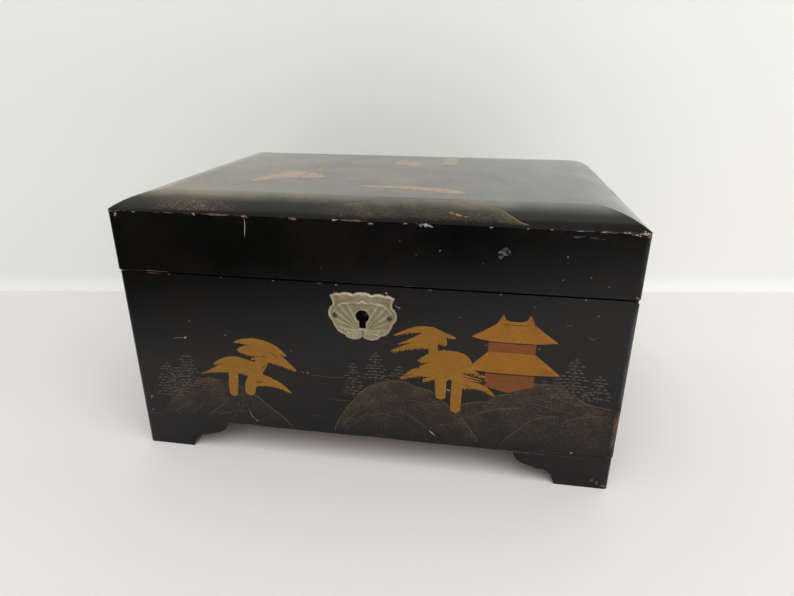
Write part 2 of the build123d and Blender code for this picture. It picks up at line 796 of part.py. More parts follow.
for k in range(ring_roll_count):
    roll_y = bay_back - (k + 0.5) * ring_pitch
    with BuildPart() as ring_roll:
        with BuildSketch(Plane.YZ.offset(bay_left + soft_gap)):
            with BuildLine():
                half = ring_roll_width / 2
                shoulder = tray_floor_top + ring_roll_height - half
                Polyline(
                    (roll_y - half, shoulder),
                    (roll_y - half, tray_floor_top),
                    (roll_y + half, tray_floor_top),
                    (roll_y + half, shoulder),
                )
                ThreePointArc(
                    (roll_y + half, shoulder),
                    (roll_y, shoulder + half),
                    (roll_y - half, shoulder),
                )
            make_face()
        extrude(amount=ring_bay_width - 2 * soft_gap)
    save(ring_roll, f"ring_roll_{k + 1}")

with BuildPart() as pull_tabs:
    with BuildSketch(Plane.XY.offset(tray_top - tab_drop)):
        with GridLocations(tray_width + tab_thickness, 0, 2, 1):
            Rectangle(tab_thickness, tab_width)
    extrude(amount=tab_drop + tab_rise)
save(pull_tabs, "pull_tabs")
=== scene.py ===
import math

import bpy
import numpy as np
from mathutils import Matrix, Vector


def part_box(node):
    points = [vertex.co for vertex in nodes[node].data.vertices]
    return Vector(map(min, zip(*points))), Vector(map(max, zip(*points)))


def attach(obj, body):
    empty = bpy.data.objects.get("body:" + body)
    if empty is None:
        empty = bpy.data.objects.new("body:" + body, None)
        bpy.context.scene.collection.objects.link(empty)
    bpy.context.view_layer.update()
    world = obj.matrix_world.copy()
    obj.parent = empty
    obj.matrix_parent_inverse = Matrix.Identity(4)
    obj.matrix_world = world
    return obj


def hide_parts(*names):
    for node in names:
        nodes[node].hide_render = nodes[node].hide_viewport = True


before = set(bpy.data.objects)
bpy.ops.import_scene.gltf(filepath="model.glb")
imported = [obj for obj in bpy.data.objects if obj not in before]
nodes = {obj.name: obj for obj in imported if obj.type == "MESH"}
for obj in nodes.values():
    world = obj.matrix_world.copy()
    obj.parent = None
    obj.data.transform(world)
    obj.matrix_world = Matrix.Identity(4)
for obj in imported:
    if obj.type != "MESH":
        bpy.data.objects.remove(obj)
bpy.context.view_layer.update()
print("frame loaded,", len(nodes), "solids")

# lengths below are in millimetres unless a note says otherwise; toMetres brings them into the frame
toMetres = 0.001


def nodeBox(name):
    # lowest and highest corner of a solid, in millimetres
    low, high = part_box(name)
    return np.array(low) / toMetres, np.array(high) / toMetres


frontY = nodeBox("front_panel")[0][1]
caseLow, caseHigh = nodeBox("front_panel")
lidLow = nodeBox("lid_front_rail")[0]
crownHigh = nodeBox("lid_top")[1]
lidFaceY = lidLow[1]


# camera, floor, wall and lamps

cameraSet = {
    "position": (0.05698, -0.33975, 0.20058),
    "right": (0.98726, 0.15908, 0.00378),
    "up": (-0.06269, 0.36703, 0.92810),
    "back": (0.14625, -0.91651, 0.37232),
    "lens": 25.743,
    "sensor": 36.0,
}

stageSet = {
    "wallAt": (-0.0265, 0.182),   # a point at the wall's foot and the way that the wall faces, metres
    "wallTurn": 9.44,
    "coveRadius": 0.012,
    "floorReach": 1.7,
    "wallHeight": 1.3,
    "floorColor": (0.825, 0.797, 0.785),
    "wallColor": (0.88, 0.885, 0.848),
}

lampSet = {
    "side": {"at": (1.10, -0.60, 0.80), "size": 0.9, "watts": 4.6, "color": (1.0, 0.985, 0.96)},
    "front": {"at": (0.15, -1.02, 1.62), "size": 1.9, "watts": 21.5, "color": (1.0, 0.99, 0.98)},
    "sky": 0.40,
    "skyColor": (0.97, 0.985, 1.0),
    "seenSky": (0.43, 0.43, 0.415),
}


def feed(node, feeds):
    # gives each listed input of a node a value or a link; a colour is written as three numbers
    for key, value in feeds.items():
        socket = node.inputs[key]
        if isinstance(value, bpy.types.NodeSocket):
            node.id_data.links.new(value, socket)
        else:
            socket.default_value = (*value, 1.0) if socket.type == "RGBA" else value
    return node


def place(tree, kind, feeds=None, **settings):
    # adds one node, sets its options, then feeds its inputs
    node = tree.nodes.new("ShaderNode" + kind)
    for key, value in settings.items():
        setattr(node, key, value)
    return feed(node, feeds or {})


def sums(tree, operation, a, b=0.0, c=0.0, clamp=False):
    # one Math node and its answer
    return place(tree, "Math", {0: a, 1: b, 2: c}, operation=operation, use_clamp=clamp).outputs[0]


def times(tree, a, b):
    # a times b
    return sums(tree, "MULTIPLY", a, b)


def tint(tree, factor, a, b):
    # one colour Mix node: a at factor 0, b at factor 1
    return place(tree, "Mix", {0: factor, 6: a, 7: b}, data_type="RGBA").outputs[2]


def ramp(tree, value, low, high, outLow=0.0, outHigh=1.0):
    # a clamped straight run from (low, outLow) to (high, outHigh)
    return place(tree, "MapRange", {"Value": value, "From Min": low, "From Max": high,
                                    "To Min": outLow, "To Max": outHigh}).outputs[0]


def noiseOf(tree, at, scale, detail):
    # a noise from 0 to 1, most of it near the middle
    return place(tree, "TexNoise", {"Vector": at, "Scale": scale, "Detail": detail}).outputs["Fac"]


def bumpOf(tree, height, strength, distance):
    # the normal that a height field tips
    return place(tree, "Bump", {"Height": height, "Strength": strength, "Distance": distance}).outputs[0]


def newMaterial(name):
    # an empty material with one Principled shader wired to its output
    material = bpy.data.materials.new(name)
    material.use_nodes = True
    tree = material.node_tree
    tree.nodes.clear()
    shader = place(tree, "BsdfPrincipled")
    place(tree, "OutputMaterial", {"Surface": shader.outputs[0]})
    return material, tree, shader


def objectPoint(tree):
    # the point in the frame's own metres
    return place(tree, "TexCoord").outputs["Object"]


def makeCamera(values):
    # the camera's own axes are the columns of its matrix
    data = bpy.data.cameras.new("camera")
    data.sensor_fit = "HORIZONTAL"
    data.sensor_width = values["sensor"]
    data.lens = values["lens"]
    data.clip_start = 0.01
    data.clip_end = 20
    camera = bpy.data.objects.new("camera", data)
    bpy.context.scene.collection.objects.link(camera)
    axes = Matrix((values["right"], values["up"], values["back"])).transposed().to_4x4()
    camera.matrix_world = Matrix.Translation(values["position"]) @ axes
    bpy.context.scene.camera = camera


def putMesh(name, points, faceSets, smooth=False):
    # points is (count, 3) in millimetres; faceSets are arrays of three- or four-cornered faces
    mesh = bpy.data.meshes.new(name)
    corners = np.concatenate([f.ravel() for f in faceSets]).astype(np.int32)
    sizes = np.concatenate([np.full(len(f), f.shape[1]) for f in faceSets])
    starts = np.concatenate([[0], np.cumsum(sizes)[:-1]]).astype(np.int32)
    mesh.vertices.add(len(points))
    mesh.vertices.foreach_set("co", (points * toMetres).astype(np.float32).ravel())
    mesh.loops.add(len(corners))
    mesh.loops.foreach_set("vertex_index", corners)
    mesh.polygons.add(len(sizes))
    mesh.polygons.foreach_set("loop_start", starts)
    mesh.polygons.foreach_set("use_smooth", np.full(len(sizes), smooth))
    mesh.update(calc_edges=True)
    mesh.validate()
    piece = bpy.data.objects.new(name, mesh)
    bpy.context.scene.collection.objects.link(piece)
    return piece


def giveValue(piece, name, values):
    # a number for each point, which a material reads by name
    layer = piece.data.attributes.new(name, "FLOAT", "POINT")
    layer.data.foreach_set("value", np.asarray(values, np.float32).ravel())


def gridFaces(rows, columns, closeRows=False, closeColumns=False):
    # four-cornered faces of a grid whose points run row by row, wrapped round where asked
    i = np.arange(rows if closeRows else rows - 1)[:, None]
    j = np.arange(columns if closeColumns else columns - 1)[None, :]
    nextI = (i + 1) % rows
    nextJ = (j + 1) % columns
    quads = np.stack(np.broadcast_arrays(i * columns + j, nextI * columns + j,
                                         nextI * columns + nextJ, i * columns + nextJ), -1)
    return quads.reshape(-1, 4)


def makeStage(values):
    # the floor is a flat grid; the wall is a quarter-round cove carried straight up, both along x
    reach = values["floorReach"] / toMetres
    radius = values["coveRadius"] / toMetres
    x, y = np.meshgrid(np.linspace(-reach, reach, 9), np.linspace(-reach, reach, 9), indexing="ij")
    floor = putMesh("paleFloor", np.stack([x, y, np.zeros_like(x)], -1).reshape(-1, 3), [gridFaces(9, 9)])
    turn = np.linspace(0, math.pi / 2, 13)
    profile = np.stack([-radius + radius * np.sin(turn), radius - radius * np.cos(turn) + 0.02], -1)
    profile = np.concatenate([profile, [[0, values["wallHeight"] / toMetres]]])
    across = np.repeat(np.linspace(reach, -reach, 5), len(profile))
    away = np.tile(profile[:, 0], 5)
    c, s = math.cos(math.radians(values["wallTurn"])), math.sin(math.radians(values["wallTurn"]))
    foot = np.array(values["wallAt"]) / toMetres
    alongX, alongY = across * c - away * s, across * s + away * c
    points = np.stack([foot[0] + alongX, foot[1] + alongY, np.tile(profile[:, 1], 5)], -1)
    wall = putMesh("paleWall", points, [gridFaces(5, len(profile))[:, ::-1]], smooth=True)
    material, tree, shader = newMaterial("paleCloth")
    at = objectPoint(tree)
    threads = noiseOf(tree, at, 900.0, 2.0)
    cloud = noiseOf(tree, at, 2.2, 2.0)
    base = tint(tree, ramp(tree, cloud, 0.35, 0.65), [c * 0.985 for c in values["floorColor"]],
                values["floorColor"])
    feed(shader, {"Base Color": base, "Roughness": 0.95, "Specular IOR Level": 0.1,
                  "Normal": bumpOf(tree, threads, 0.08, 0.001)})
    floor.data.materials.append(material)
    # the wall is seen from its front only, so that views from behind look past it
    material, tree, shader = newMaterial("palePaint")
    feed(shader, {"Base Color": values["wallColor"], "Roughness": 0.9, "Specular IOR Level": 0.1})
    clear = place(tree, "BsdfTransparent")
    behind = place(tree, "NewGeometry").outputs["Backfacing"]
    both = place(tree, "MixShader", {0: behind, 1: shader.outputs[0], 2: clear.outputs[0]})
    output = [n for n in tree.nodes if n.type == "OUTPUT_MATERIAL"][0]
    feed(output, {"Surface": both.outputs[0]})
    wall.data.materials.append(material)
    # a card laid on the floor out of sight, pale near the box and black further off, which the upright faces
    # mirror as the dark end of a room
    u, v = np.meshgrid(np.linspace(-900, 900, 5), np.linspace(-850, -180, 9), indexing="ij")
    card = putMesh("darkCard", np.stack([u, v, np.full_like(u, 3.0)], -1).reshape(-1, 3), [gridFaces(5, 9)])
    material, tree, shader = newMaterial("darkCard")
    at = place(tree, "SeparateXYZ", {0: objectPoint(tree)}).outputs
    far = ramp(tree, sums(tree, "MULTIPLY_ADD", at["X"], 0.5, at["Y"]), -0.46, -0.24)
    feed(shader, {"Base Color": tint(tree, far, (0.02, 0.02, 0.02), values["floorColor"]), "Roughness": 0.9})
    card.data.materials.append(material)
    card.visible_camera = False
    card.visible_diffuse = False
    card.visible_shadow = False


def makeLights(values):
    # square lamps turned to the middle of the box, and a sky that looks pale to the eye and to mirrors
    for name in ("side", "front"):
        lamp = values[name]
        data = bpy.data.lights.new(name + "Lamp", "AREA")
        data.shape = "SQUARE"
        data.size = lamp["size"]
        data.energy = lamp["watts"]
        data.color = lamp["color"]
        light = bpy.data.objects.new(name + "Lamp", data)
        bpy.context.scene.collection.objects.link(light)
        light.location = lamp["at"]
        light.rotation_mode = "QUATERNION"
        light.rotation_quaternion = (Vector(lamp["at"]) - Vector((0, 0, 0.07))).to_track_quat("Z", "Y")
        light.visible_camera = False
    world = bpy.data.worlds.new("room")
    world.use_nodes = True
    bpy.context.scene.world = world
    tree = world.node_tree
    tree.nodes.clear()
    fill = place(tree, "Background", {"Color": values["skyColor"], "Strength": values["sky"]})
    seen = place(tree, "Background", {"Color": values["seenSky"], "Strength": 1.0})
    ray = place(tree, "LightPath")
    either = sums(tree, "MAXIMUM", ray.outputs["Is Camera Ray"], ray.outputs["Is Glossy Ray"])
    either = sums(tree, "MAXIMUM", either, ray.outputs["Is Transmission Ray"])
    both = place(tree, "MixShader", {0: either, 1: fill.outputs[0], 2: seen.outputs[0]})
    place(tree, "OutputWorld", {"Surface": both.outputs[0]})


makeCamera(cameraSet)
makeStage(stageSet)
makeLights(lampSet)
scene = bpy.context.scene
scene.view_settings.view_transform = "Standard"
print("camera, floor and lamps placed")


# shared effects, each a node group

def newGroup(name, inputs, outputs):
    # inputs are name: default value, a vector where the default is None
    group = bpy.data.node_groups.new(name, "ShaderNodeTree")
    for key, value in inputs.items():
        kind = "NodeSocketVector" if value is None else "NodeSocketFloat"
        socket = group.interface.new_socket(key, in_out="INPUT", socket_type=kind)
        if value is not None:
            socket.default_value = value
    for key in outputs:
        group.interface.new_socket(key, in_out="OUTPUT", socket_type="NodeSocketFloat")
    start = group.nodes.new("NodeGroupInput")
    end = group.nodes.new("NodeGroupOutput")
    return group, start.outputs, end.inputs


def useGroup(tree, group, feeds):
    # a shared effect's outputs
    return place(tree, "Group", feeds, node_tree=group).outputs


def makeMottle():
    # soft cloudy change from 0 to 1 between two levels of a noise
    group, given, out = newGroup("mottle", {"Vector": None, "Scale": 20.0, "Detail": 4.0,
                                            "Low": 0.35, "High": 0.65}, ["Value"])
    noise = noiseOf(group, given["Vector"], given["Scale"], given["Detail"])
    group.links.new(ramp(group, noise, given["Low"], given["High"]), out["Value"])
    return group


def makeEdgeWear():
    # of a point's distances to a box's sides, bottom and top, the second least is its distance to an edge;
    # worn where that is under a width that a noise makes ragged and mostly nothing
    group, given, out = newGroup("edgeWear", {"Vector": None, "Half X": 0.1, "Half Y": 0.1, "Bottom": 0.0,
                                              "Top": 0.1, "Width": 0.001, "Amount": 0.5}, ["Mask"])
    part = place(group, "SeparateXYZ", {0: given["Vector"]}).outputs
    a = sums(group, "SUBTRACT", given["Half X"], sums(group, "ABSOLUTE", part["X"]))
    b = sums(group, "SUBTRACT", given["Half Y"], sums(group, "ABSOLUTE", part["Y"]))
    over = sums(group, "SUBTRACT", given["Top"], part["Z"])
    c = sums(group, "MINIMUM", over, sums(group, "SUBTRACT", part["Z"], given["Bottom"]))
    least, most = sums(group, "MINIMUM", a, b), sums(group, "MAXIMUM", a, b)
    second = sums(group, "MAXIMUM", least, sums(group, "MINIMUM", most, c))
    broad = noiseOf(group, given["Vector"], 35.0, 3.0)
    fine = noiseOf(group, given["Vector"], 420.0, 2.0)
    whole = sums(group, "SUBTRACT", 0.78, times(group, given["Amount"], 0.4))
    reach = times(group, ramp(group, broad, whole, 0.8), given["Width"])
    reach = times(group, reach, ramp(group, fine, 0.3, 0.6, 0.3, 1.5))
    left = sums(group, "SUBTRACT", reach, second)
    group.links.new(ramp(group, left, 0.0, 0.00012), out["Mask"])
    return group


def makeDust():
    # dust lies where the surface looks up, in a thin cloudy film with small grains in it
    group, given, out = newGroup("dust", {"Vector": None, "Amount": 0.3, "Grain": 1500.0}, ["Film", "Grains"])
    up = place(group, "SeparateXYZ", {0: place(group, "NewGeometry").outputs["Normal"]}).outputs["Z"]
    lying = ramp(group, up, 0.15, 0.95)
    cloud = noiseOf(group, given["Vector"], 28.0, 6.0)
    film = times(group, times(group, lying, ramp(group, cloud, 0.3, 0.75)), given["Amount"])
    group.links.new(film, out["Film"])
    cell = place(group, "TexVoronoi", {"Vector": given["Vector"], "Scale": given["Grain"]})
    lot = place(group, "SeparateXYZ", {0: cell.outputs["Color"]}).outputs["X"]
    rare = sums(group, "LESS_THAN", lot, times(group, given["Amount"], 0.02))
    small = sums(group, "LESS_THAN", cell.outputs["Distance"], 0.35)
    grains = times(group, times(group, rare, small), ramp(group, up, -0.2, 0.5, 0.35, 1.0))
    group.links.new(grains, out["Grains"])
    return group


def makeScratches():
    # thin lines where a stretched noise crosses its middle value, kept in a few patches
    group, given, out = newGroup("scratches", {"Vector": None, "Scale": 14.0, "Amount": 0.4}, ["Mask"])
    stretched = place(group, "Mapping", {"Vector": given["Vector"], "Rotation": (0.5, 0.35, 0.6),
                                         "Scale": (1.0, 3.0, 6.0)}).outputs[0]
    noise = noiseOf(group, stretched, given["Scale"], 1.0)
    line = ramp(group, sums(group, "ABSOLUTE", sums(group, "SUBTRACT", noise, 0.5)), 0.0, 0.0022, 1.0, 0.0)
    patch = noiseOf(group, given["Vector"], 21.0, 2.0)
    kept = ramp(group, patch, sums(group, "SUBTRACT", 0.82, times(group, given["Amount"], 0.3)), 0.85)
    group.links.new(times(group, line, kept), out["Mask"])
    return group


def makeSprinkle():
    # metal powder: cells of a Voronoi pattern that draw a low lot are grains, more of them where density is
    # high
    group, given, out = newGroup("sprinkle", {"Vector": None, "Cells": 2200.0, "Density": 0.3},
                                 ["Mask", "Shade"])
    cell = place(group, "TexVoronoi", {"Vector": given["Vector"], "Scale": given["Cells"]})
    lot = place(group, "SeparateXYZ", {0: cell.outputs["Color"]}).outputs
    taken = sums(group, "LESS_THAN", lot["X"], given["Density"])
    round_ = sums(group, "LESS_THAN", cell.outputs["Distance"], 0.52)
    group.links.new(times(group, taken, round_), out["Mask"])
    group.links.new(lot["Y"], out["Shade"])
    return group


def makePile():
    # velvet pile: fine grains for its height, brushed patches for its shade
    group, given, out = newGroup("pile", {"Vector": None, "Fineness": 2600.0, "Patches": 30.0},
                                 ["Height", "Brushed"])
    fine = noiseOf(group, given["Vector"], given["Fineness"], 2.0)
    group.links.new(fine, out["Height"])
    patch = place(group, "TexNoise", {"Vector": given["Vector"], "Scale": given["Patches"], "Detail": 5.0,
                                      "Distortion": 1.2})
    group.links.new(ramp(group, patch.outputs["Fac"], 0.32, 0.7), out["Brushed"])
    return group


def makeWeave():
    # satin: long floats along one way and a fine rib across it
    group, given, out = newGroup("satinWeave", {"Vector": None, "Threads": 2400.0}, ["Height"])
    turned = place(group, "Mapping", {"Vector": given["Vector"], "Scale": (1.0, 1.0, 0.18)}).outputs[0]
    rib = place(group, "TexWave",
                {"Vector": turned, "Scale": times(group, given["Threads"], 0.16), "Distortion": 0.6},
                wave_type="BANDS", bands_direction="X").outputs["Fac"]
    fuzz = place(group, "TexNoise", {"Vector": turned, "Scale": given["Threads"]}).outputs["Fac"]
    group.links.new(sums(group, "ADD", times(group, rib, 0.6), times(group, fuzz, 0.4)), out["Height"])
    return group


def makeWoodGrain():
    # growth rings as bands pulled about by noise, with short pores along x
    group, given, out = newGroup("woodGrain", {"Vector": None, "Rings": 55.0}, ["Rings", "Pores"])
    long_ = place(group, "Mapping", {"Vector": given["Vector"], "Scale": (0.12, 1.0, 1.0)}).outputs[0]
    rings = place(group, "TexWave",
                  {"Vector": long_, "Scale": given["Rings"], "Distortion": 4.0, "Detail": 3.0,
                   "Detail Scale": 1.4}, wave_type="BANDS", bands_direction="DIAGONAL").outputs["Fac"]
    group.links.new(rings, out["Rings"])
    pores = noiseOf(group, long_, 1400.0, 1.0)
    group.links.new(ramp(group, pores, 0.36, 0.5), out["Pores"])
    return group


mottle = makeMottle()
edgeWear = makeEdgeWear()
dust = makeDust()
scratches = makeScratches()
sprinkle = makeSprinkle()
pile = makePile()
satinWeave = makeWeave()
woodGrain = makeWoodGrain()
print("effects built")


def cloudOf(tree, at, scale, detail, low, high):
    # the mottle effect's one value
    feeds = {"Vector": at, "Scale": scale, "Detail": detail, "Low": low, "High": high}
    return useGroup(tree, mottle, feeds)["Value"]


# finishes

lacquerSet = {
    "black": (0.0013, 0.0012, 0.0010),
    "hazed": (0.0036, 0.0031, 0.0026),   # rubbed, slightly brown
    "bareEdge": (0.115, 0.052, 0.028),   # ground coat where the black is worn through
    "dustColor": (0.30, 0.28, 0.25),
    "scratchColor": (0.12, 0.11, 0.10),
    # the flat top's bloom, lighter than a real haze as a painted sheen of the mirrored wall: its colours at
    # the left and right, and its least and most amount
    "bloomSheenLeft": (0.35, 0.28, 0.165),
    "bloomSheenRight": (0.27, 0.265, 0.225),
    "bloomSheenLow": 0.15,
    "bloomSheenHigh": 0.50,
    "roughLow": 0.09,
    "roughHigh": 0.20,
    "wearWidth": 0.0011,
}


def makeLacquer(name, wearBox=None, wearAmount=0.45, dustAmount=0.022, powder=None, bloomSheenBox=None,
                cells=3400.0):
    # black lacquer with haze, rubbed patches, fine scratches, worn edges and dust;
    # powder is the colour of metal powder sprinkled by the piece's "powder" values, or of a film laid the
    # same way:
    # bare wood, or a painted highlight on the case's corner;
    # the bloom box is the half sizes of a lid whose flat top has gone dull and warm grey,
    # lightened further as a painted sheen of the pale wall that the top mirrors at a grazing angle
    material, tree, shader = newMaterial(name)
    at = objectPoint(tree)
    cloud = cloudOf(tree, at, 16.0, 6.0, 0.38, 0.68)
    small = cloudOf(tree, at, 190.0, 3.0, 0.4, 0.7)
    base = tint(tree, cloud, lacquerSet["black"], lacquerSet["hazed"])
    if bloomSheenBox:
        # bloom and painted sheen: nothing near a side, all of it further in, in clouds, browner to the left;
        # its grey stands in for the wall mirrored by the flat top
        part = place(tree, "SeparateXYZ", {0: at}).outputs
        inX = sums(tree, "SUBTRACT", bloomSheenBox[0], sums(tree, "ABSOLUTE", part["X"]))
        inY = sums(tree, "SUBTRACT", bloomSheenBox[1], sums(tree, "ABSOLUTE", part["Y"]))
        nearest = sums(tree, "MINIMUM", inX, inY)
        ripples = noiseOf(tree, at, 34.0, 5.0)
        nearest = sums(tree, "MULTIPLY_ADD", ripples, 0.004, nearest)
        amount = times(tree, ramp(tree, nearest, 0.0105, 0.0175), ramp(tree, part["Z"], 0.1368, 0.1380))
        cloudy = ramp(tree, ripples, 0.25, 0.75, lacquerSet["bloomSheenLow"], lacquerSet["bloomSheenHigh"])
        amount = times(tree, amount, cloudy)
        rightward = ramp(tree, sums(tree, "MULTIPLY_ADD", ripples, -0.14, part["X"]), -0.17, 0.0)
        shade = tint(tree, rightward, lacquerSet["bloomSheenLeft"], lacquerSet["bloomSheenRight"])
        base = tint(tree, amount, base, shade)
    if powder:
        amount = place(tree, "Attribute", attribute_name="powder").outputs["Fac"]
        density = times(tree, amount, 0.55)
        grains = useGroup(tree, sprinkle, {"Vector": at, "Cells": cells, "Density": density})
        base = tint(tree, times(tree, amount, 0.75), base, powder[0])
        base = tint(tree, grains["Mask"], base, tint(tree, grains["Shade"], powder[1], powder[2]))
    lines = useGroup(tree, scratches, {"Vector": at, "Scale": 15.0, "Amount": 0.35})["Mask"]
    base = tint(tree, times(tree, lines, 0.35), base, lacquerSet["scratchColor"])
    film = useGroup(tree, dust, {"Vector": at, "Amount": dustAmount, "Grain": 1300.0})
    base = tint(tree, film["Film"], base, lacquerSet["dustColor"])
    base = tint(tree, times(tree, film["Grains"], 0.5), base, lacquerSet["dustColor"])
    rough = ramp(tree, cloud, 0.0, 1.0, lacquerSet["roughLow"], lacquerSet["roughHigh"])
    rough = sums(tree, "ADD", rough, times(tree, small, 0.05))
    if wearBox:
        halfX, halfY, bottom, top = wearBox
        worn = useGroup(tree, edgeWear,
                        {"Vector": at, "Half X": halfX, "Half Y": halfY, "Bottom": bottom, "Top": top,
                         "Width": lacquerSet["wearWidth"], "Amount": wearAmount})["Mask"]
        base = tint(tree, worn, base, lacquerSet["bareEdge"])
        rough = sums(tree, "ADD", rough, times(tree, worn, 0.4), clamp=True)
    height = sums(tree, "ADD", noiseOf(tree, at, 75.0, 2.0), times(tree, lines, -0.2))
    feed(shader, {"Base Color": base, "Roughness": rough, "IOR": 1.38,
                  "Normal": bumpOf(tree, height, 0.10, 0.0006)})
    return material


def makePaint(name, dark, light, rough=0.5, streaks=260.0, rubbed=0.25, under=(0.02, 0.014, 0.008),
              stretch=(1, 1, 4)):
    # brushed paint: streaks between two shades, thin places where the ground shows, fine grain
    material, tree, shader = newMaterial(name)
    at = objectPoint(tree)
    turned = place(tree, "Mapping", {"Vector": at, "Scale": stretch}).outputs[0]
    streak = cloudOf(tree, turned, streaks, 4.0, 0.3, 0.7)
    cloud = cloudOf(tree, at, 60.0, 4.0, 0.3, 0.7)
    blend = sums(tree, "ADD", times(tree, streak, 0.6), times(tree, cloud, 0.4))
    base = tint(tree, blend, dark, light)
    thin = cloudOf(tree, at, 900.0, 3.0, 0.60, 0.72)
    base = tint(tree, times(tree, thin, rubbed), base, under)
    feed(shader, {"Base Color": base, "IOR": 1.3, "Normal": bumpOf(tree, streak, 0.25, 0.0002),
                  "Roughness": ramp(tree, streak, 0.0, 1.0, rough - 0.08, rough + 0.1)})
    return material


def makeMetal(name, dark, light, tarnish, rough):
    # old metal: cloudy shade, tarnish in patches, fine pits and rubbing
    material, tree, shader = newMaterial(name)
    at = objectPoint(tree)
    cloud = cloudOf(tree, at, 120.0, 5.0, 0.3, 0.7)
    spots = cloudOf(tree, at, 480.0, 4.0, 0.5, 0.75)
    base = tint(tree, cloud, dark, light)
    base = tint(tree, times(tree, spots, 0.6), base, tarnish)
    feed(shader, {"Base Color": base, "Metallic": 1.0,
                  "Roughness": ramp(tree, spots, 0.0, 1.0, rough - 0.06, rough + 0.2),
                  "Normal": bumpOf(tree, noiseOf(tree, at, 1500.0, 3.0), 0.3, 0.0002)})
    return material


def makePewter():
    # cast white metal with an olive bloom that stays in the hollows: the piece's "relief" values say how deep
    material, tree, shader = newMaterial("castPewter")
    at = objectPoint(tree)
    relief = place(tree, "Attribute", attribute_name="relief").outputs["Fac"]
    cloud = cloudOf(tree, at, 170.0, 5.0, 0.3, 0.7)
    fine = cloudOf(tree, at, 1100.0, 3.0, 0.35, 0.7)
    uneven = times(tree, sums(tree, "SUBTRACT", cloud, 0.5), 0.45)
    high = sums(tree, "ADD", ramp(tree, relief, 0.25, 0.85), uneven, clamp=True)
    upper = ramp(tree, place(tree, "SeparateXYZ", {0: at}).outputs["Z"], 0.078, 0.092, 0.55, 1.0)
    high = times(tree, high, upper)
    base = tint(tree, high, (0.235, 0.190, 0.108), (0.56, 0.49, 0.37))
    base = tint(tree, times(tree, fine, 0.3), base, (0.17, 0.13, 0.07))
    feed(shader, {"Base Color": base, "Metallic": 0.35, "Roughness": ramp(tree, high, 0.0, 1.0, 0.62, 0.38),
                  "Normal": bumpOf(tree, fine, 0.2, 0.0002)})
    return material


def makeVelvet(name, deep, lit):
    # pile that looks darker where brushed down and lights up at a low angle
    material, tree, shader = newMaterial(name)
    at = objectPoint(tree)
    nap = useGroup(tree, pile, {"Vector": at, "Fineness": 2600.0, "Patches": 34.0})
    base = tint(tree, times(tree, nap["Brushed"], 0.6), lit, deep)
    base = tint(tree, times(tree, nap["Height"], 0.35), base, deep)
    feed(shader, {"Base Color": base, "Roughness": 0.95, "Specular IOR Level": 0.15, "Sheen Weight": 0.55,
                  "Sheen Roughness": 0.35, "Sheen Tint": (1.0, 0.32, 0.34),
                  "Normal": bumpOf(tree, nap["Height"], 0.5, 0.0004)})
    return material


def makeSatin():
    # ribbed ribbon in cloudy red with a faint sheen
    material, tree, shader = newMaterial("redSatin")
    at = objectPoint(tree)
    rib = useGroup(tree, satinWeave, {"Vector": at, "Threads": 2400.0})["Height"]
    cloud = cloudOf(tree, at, 150.0, 3.0, 0.3, 0.7)
    base = tint(tree, cloud, (0.20, 0.012, 0.02), (0.36, 0.03, 0.04))
    feed(shader, {"Base Color": base, "Roughness": ramp(tree, rib, 0.2, 0.8, 0.28, 0.45),
                  "Sheen Weight": 0.25,
                  "Anisotropic": 0.5, "Normal": bumpOf(tree, rib, 0.4, 0.0002)})
    return material


def makeWood():
    # plain pale wood with rings, pores and handling dirt
    material, tree, shader = newMaterial("bareWood")
    at = objectPoint(tree)
    grain = useGroup(tree, woodGrain, {"Vector": at, "Rings": 60.0})
    dirt = cloudOf(tree, at, 22.0, 5.0, 0.35, 0.75)
    base = tint(tree, grain["Rings"], (0.46, 0.33, 0.20), (0.34, 0.22, 0.12))
    base = tint(tree, sums(tree, "SUBTRACT", 1.0, grain["Pores"]), base, (0.20, 0.12, 0.06))
    base = tint(tree, times(tree, dirt, 0.35), base, (0.15, 0.11, 0.075))
    feed(shader, {"Base Color": base, "Roughness": ramp(tree, grain["Rings"], 0.0, 1.0, 0.6, 0.78),
                  "Normal": bumpOf(tree, grain["Pores"], 0.3, 0.0002)})
    return material


def makeMirror():
    # silvered glass with a few grey age spots and faint wiping marks
    material, tree, shader = newMaterial("silveredMirror")
    at = objectPoint(tree)
    spots = cloudOf(tree, at, 240.0, 4.0, 0.70, 0.76)
    wiped = cloudOf(tree, at, 25.0, 5.0, 0.3, 0.8)
    base = tint(tree, times(tree, spots, 0.8), (0.86, 0.88, 0.88), (0.22, 0.20, 0.18))
    rough = sums(tree, "ADD", ramp(tree, wiped, 0.0, 1.0, 0.015, 0.07), times(tree, spots, 0.4))
    feed(shader, {"Base Color": base, "Metallic": 1.0, "Roughness": rough})
    return material


caseBox = (caseHigh[0] * toMetres, -frontY * toMetres, caseLow[2] * toMetres, caseHigh[2] * toMetres)
lidBox = (crownHigh[0] * toMetres, -lidFaceY * toMetres, lidLow[2] * toMetres, 0.1363)
footBox = (caseHigh[0] * toMetres, -frontY * toMetres, 0.0, caseLow[2] * toMetres)
# powder: wash, darker grain, brighter grain
dustPowder = ((0.112, 0.066, 0.030), (0.090, 0.057, 0.030), (0.165, 0.106, 0.058))
redPowder = ((0.100, 0.052, 0.021), (0.085, 0.046, 0.022), (0.150, 0.082, 0.038))
# pale grey for a painted highlight where the case's rounded right corner mirrors the pale wall
cornerHighlightPowder = ((0.15, 0.155, 0.165), (0.08, 0.082, 0.086), (0.16, 0.16, 0.165))
barePowder = ((0.17, 0.125, 0.085), (0.12, 0.085, 0.058), (0.30, 0.24, 0.18))
crownPowder = ((0.125, 0.100, 0.036), (0.115, 0.092, 0.036), (0.26, 0.20, 0.08))
rustPowder = ((0.032, 0.019, 0.011), (0.10, 0.058, 0.036), (0.20, 0.13, 0.085))
orangePowder = ((0.37, 0.195, 0.072), (0.26, 0.145, 0.060), (0.46, 0.26, 0.11))

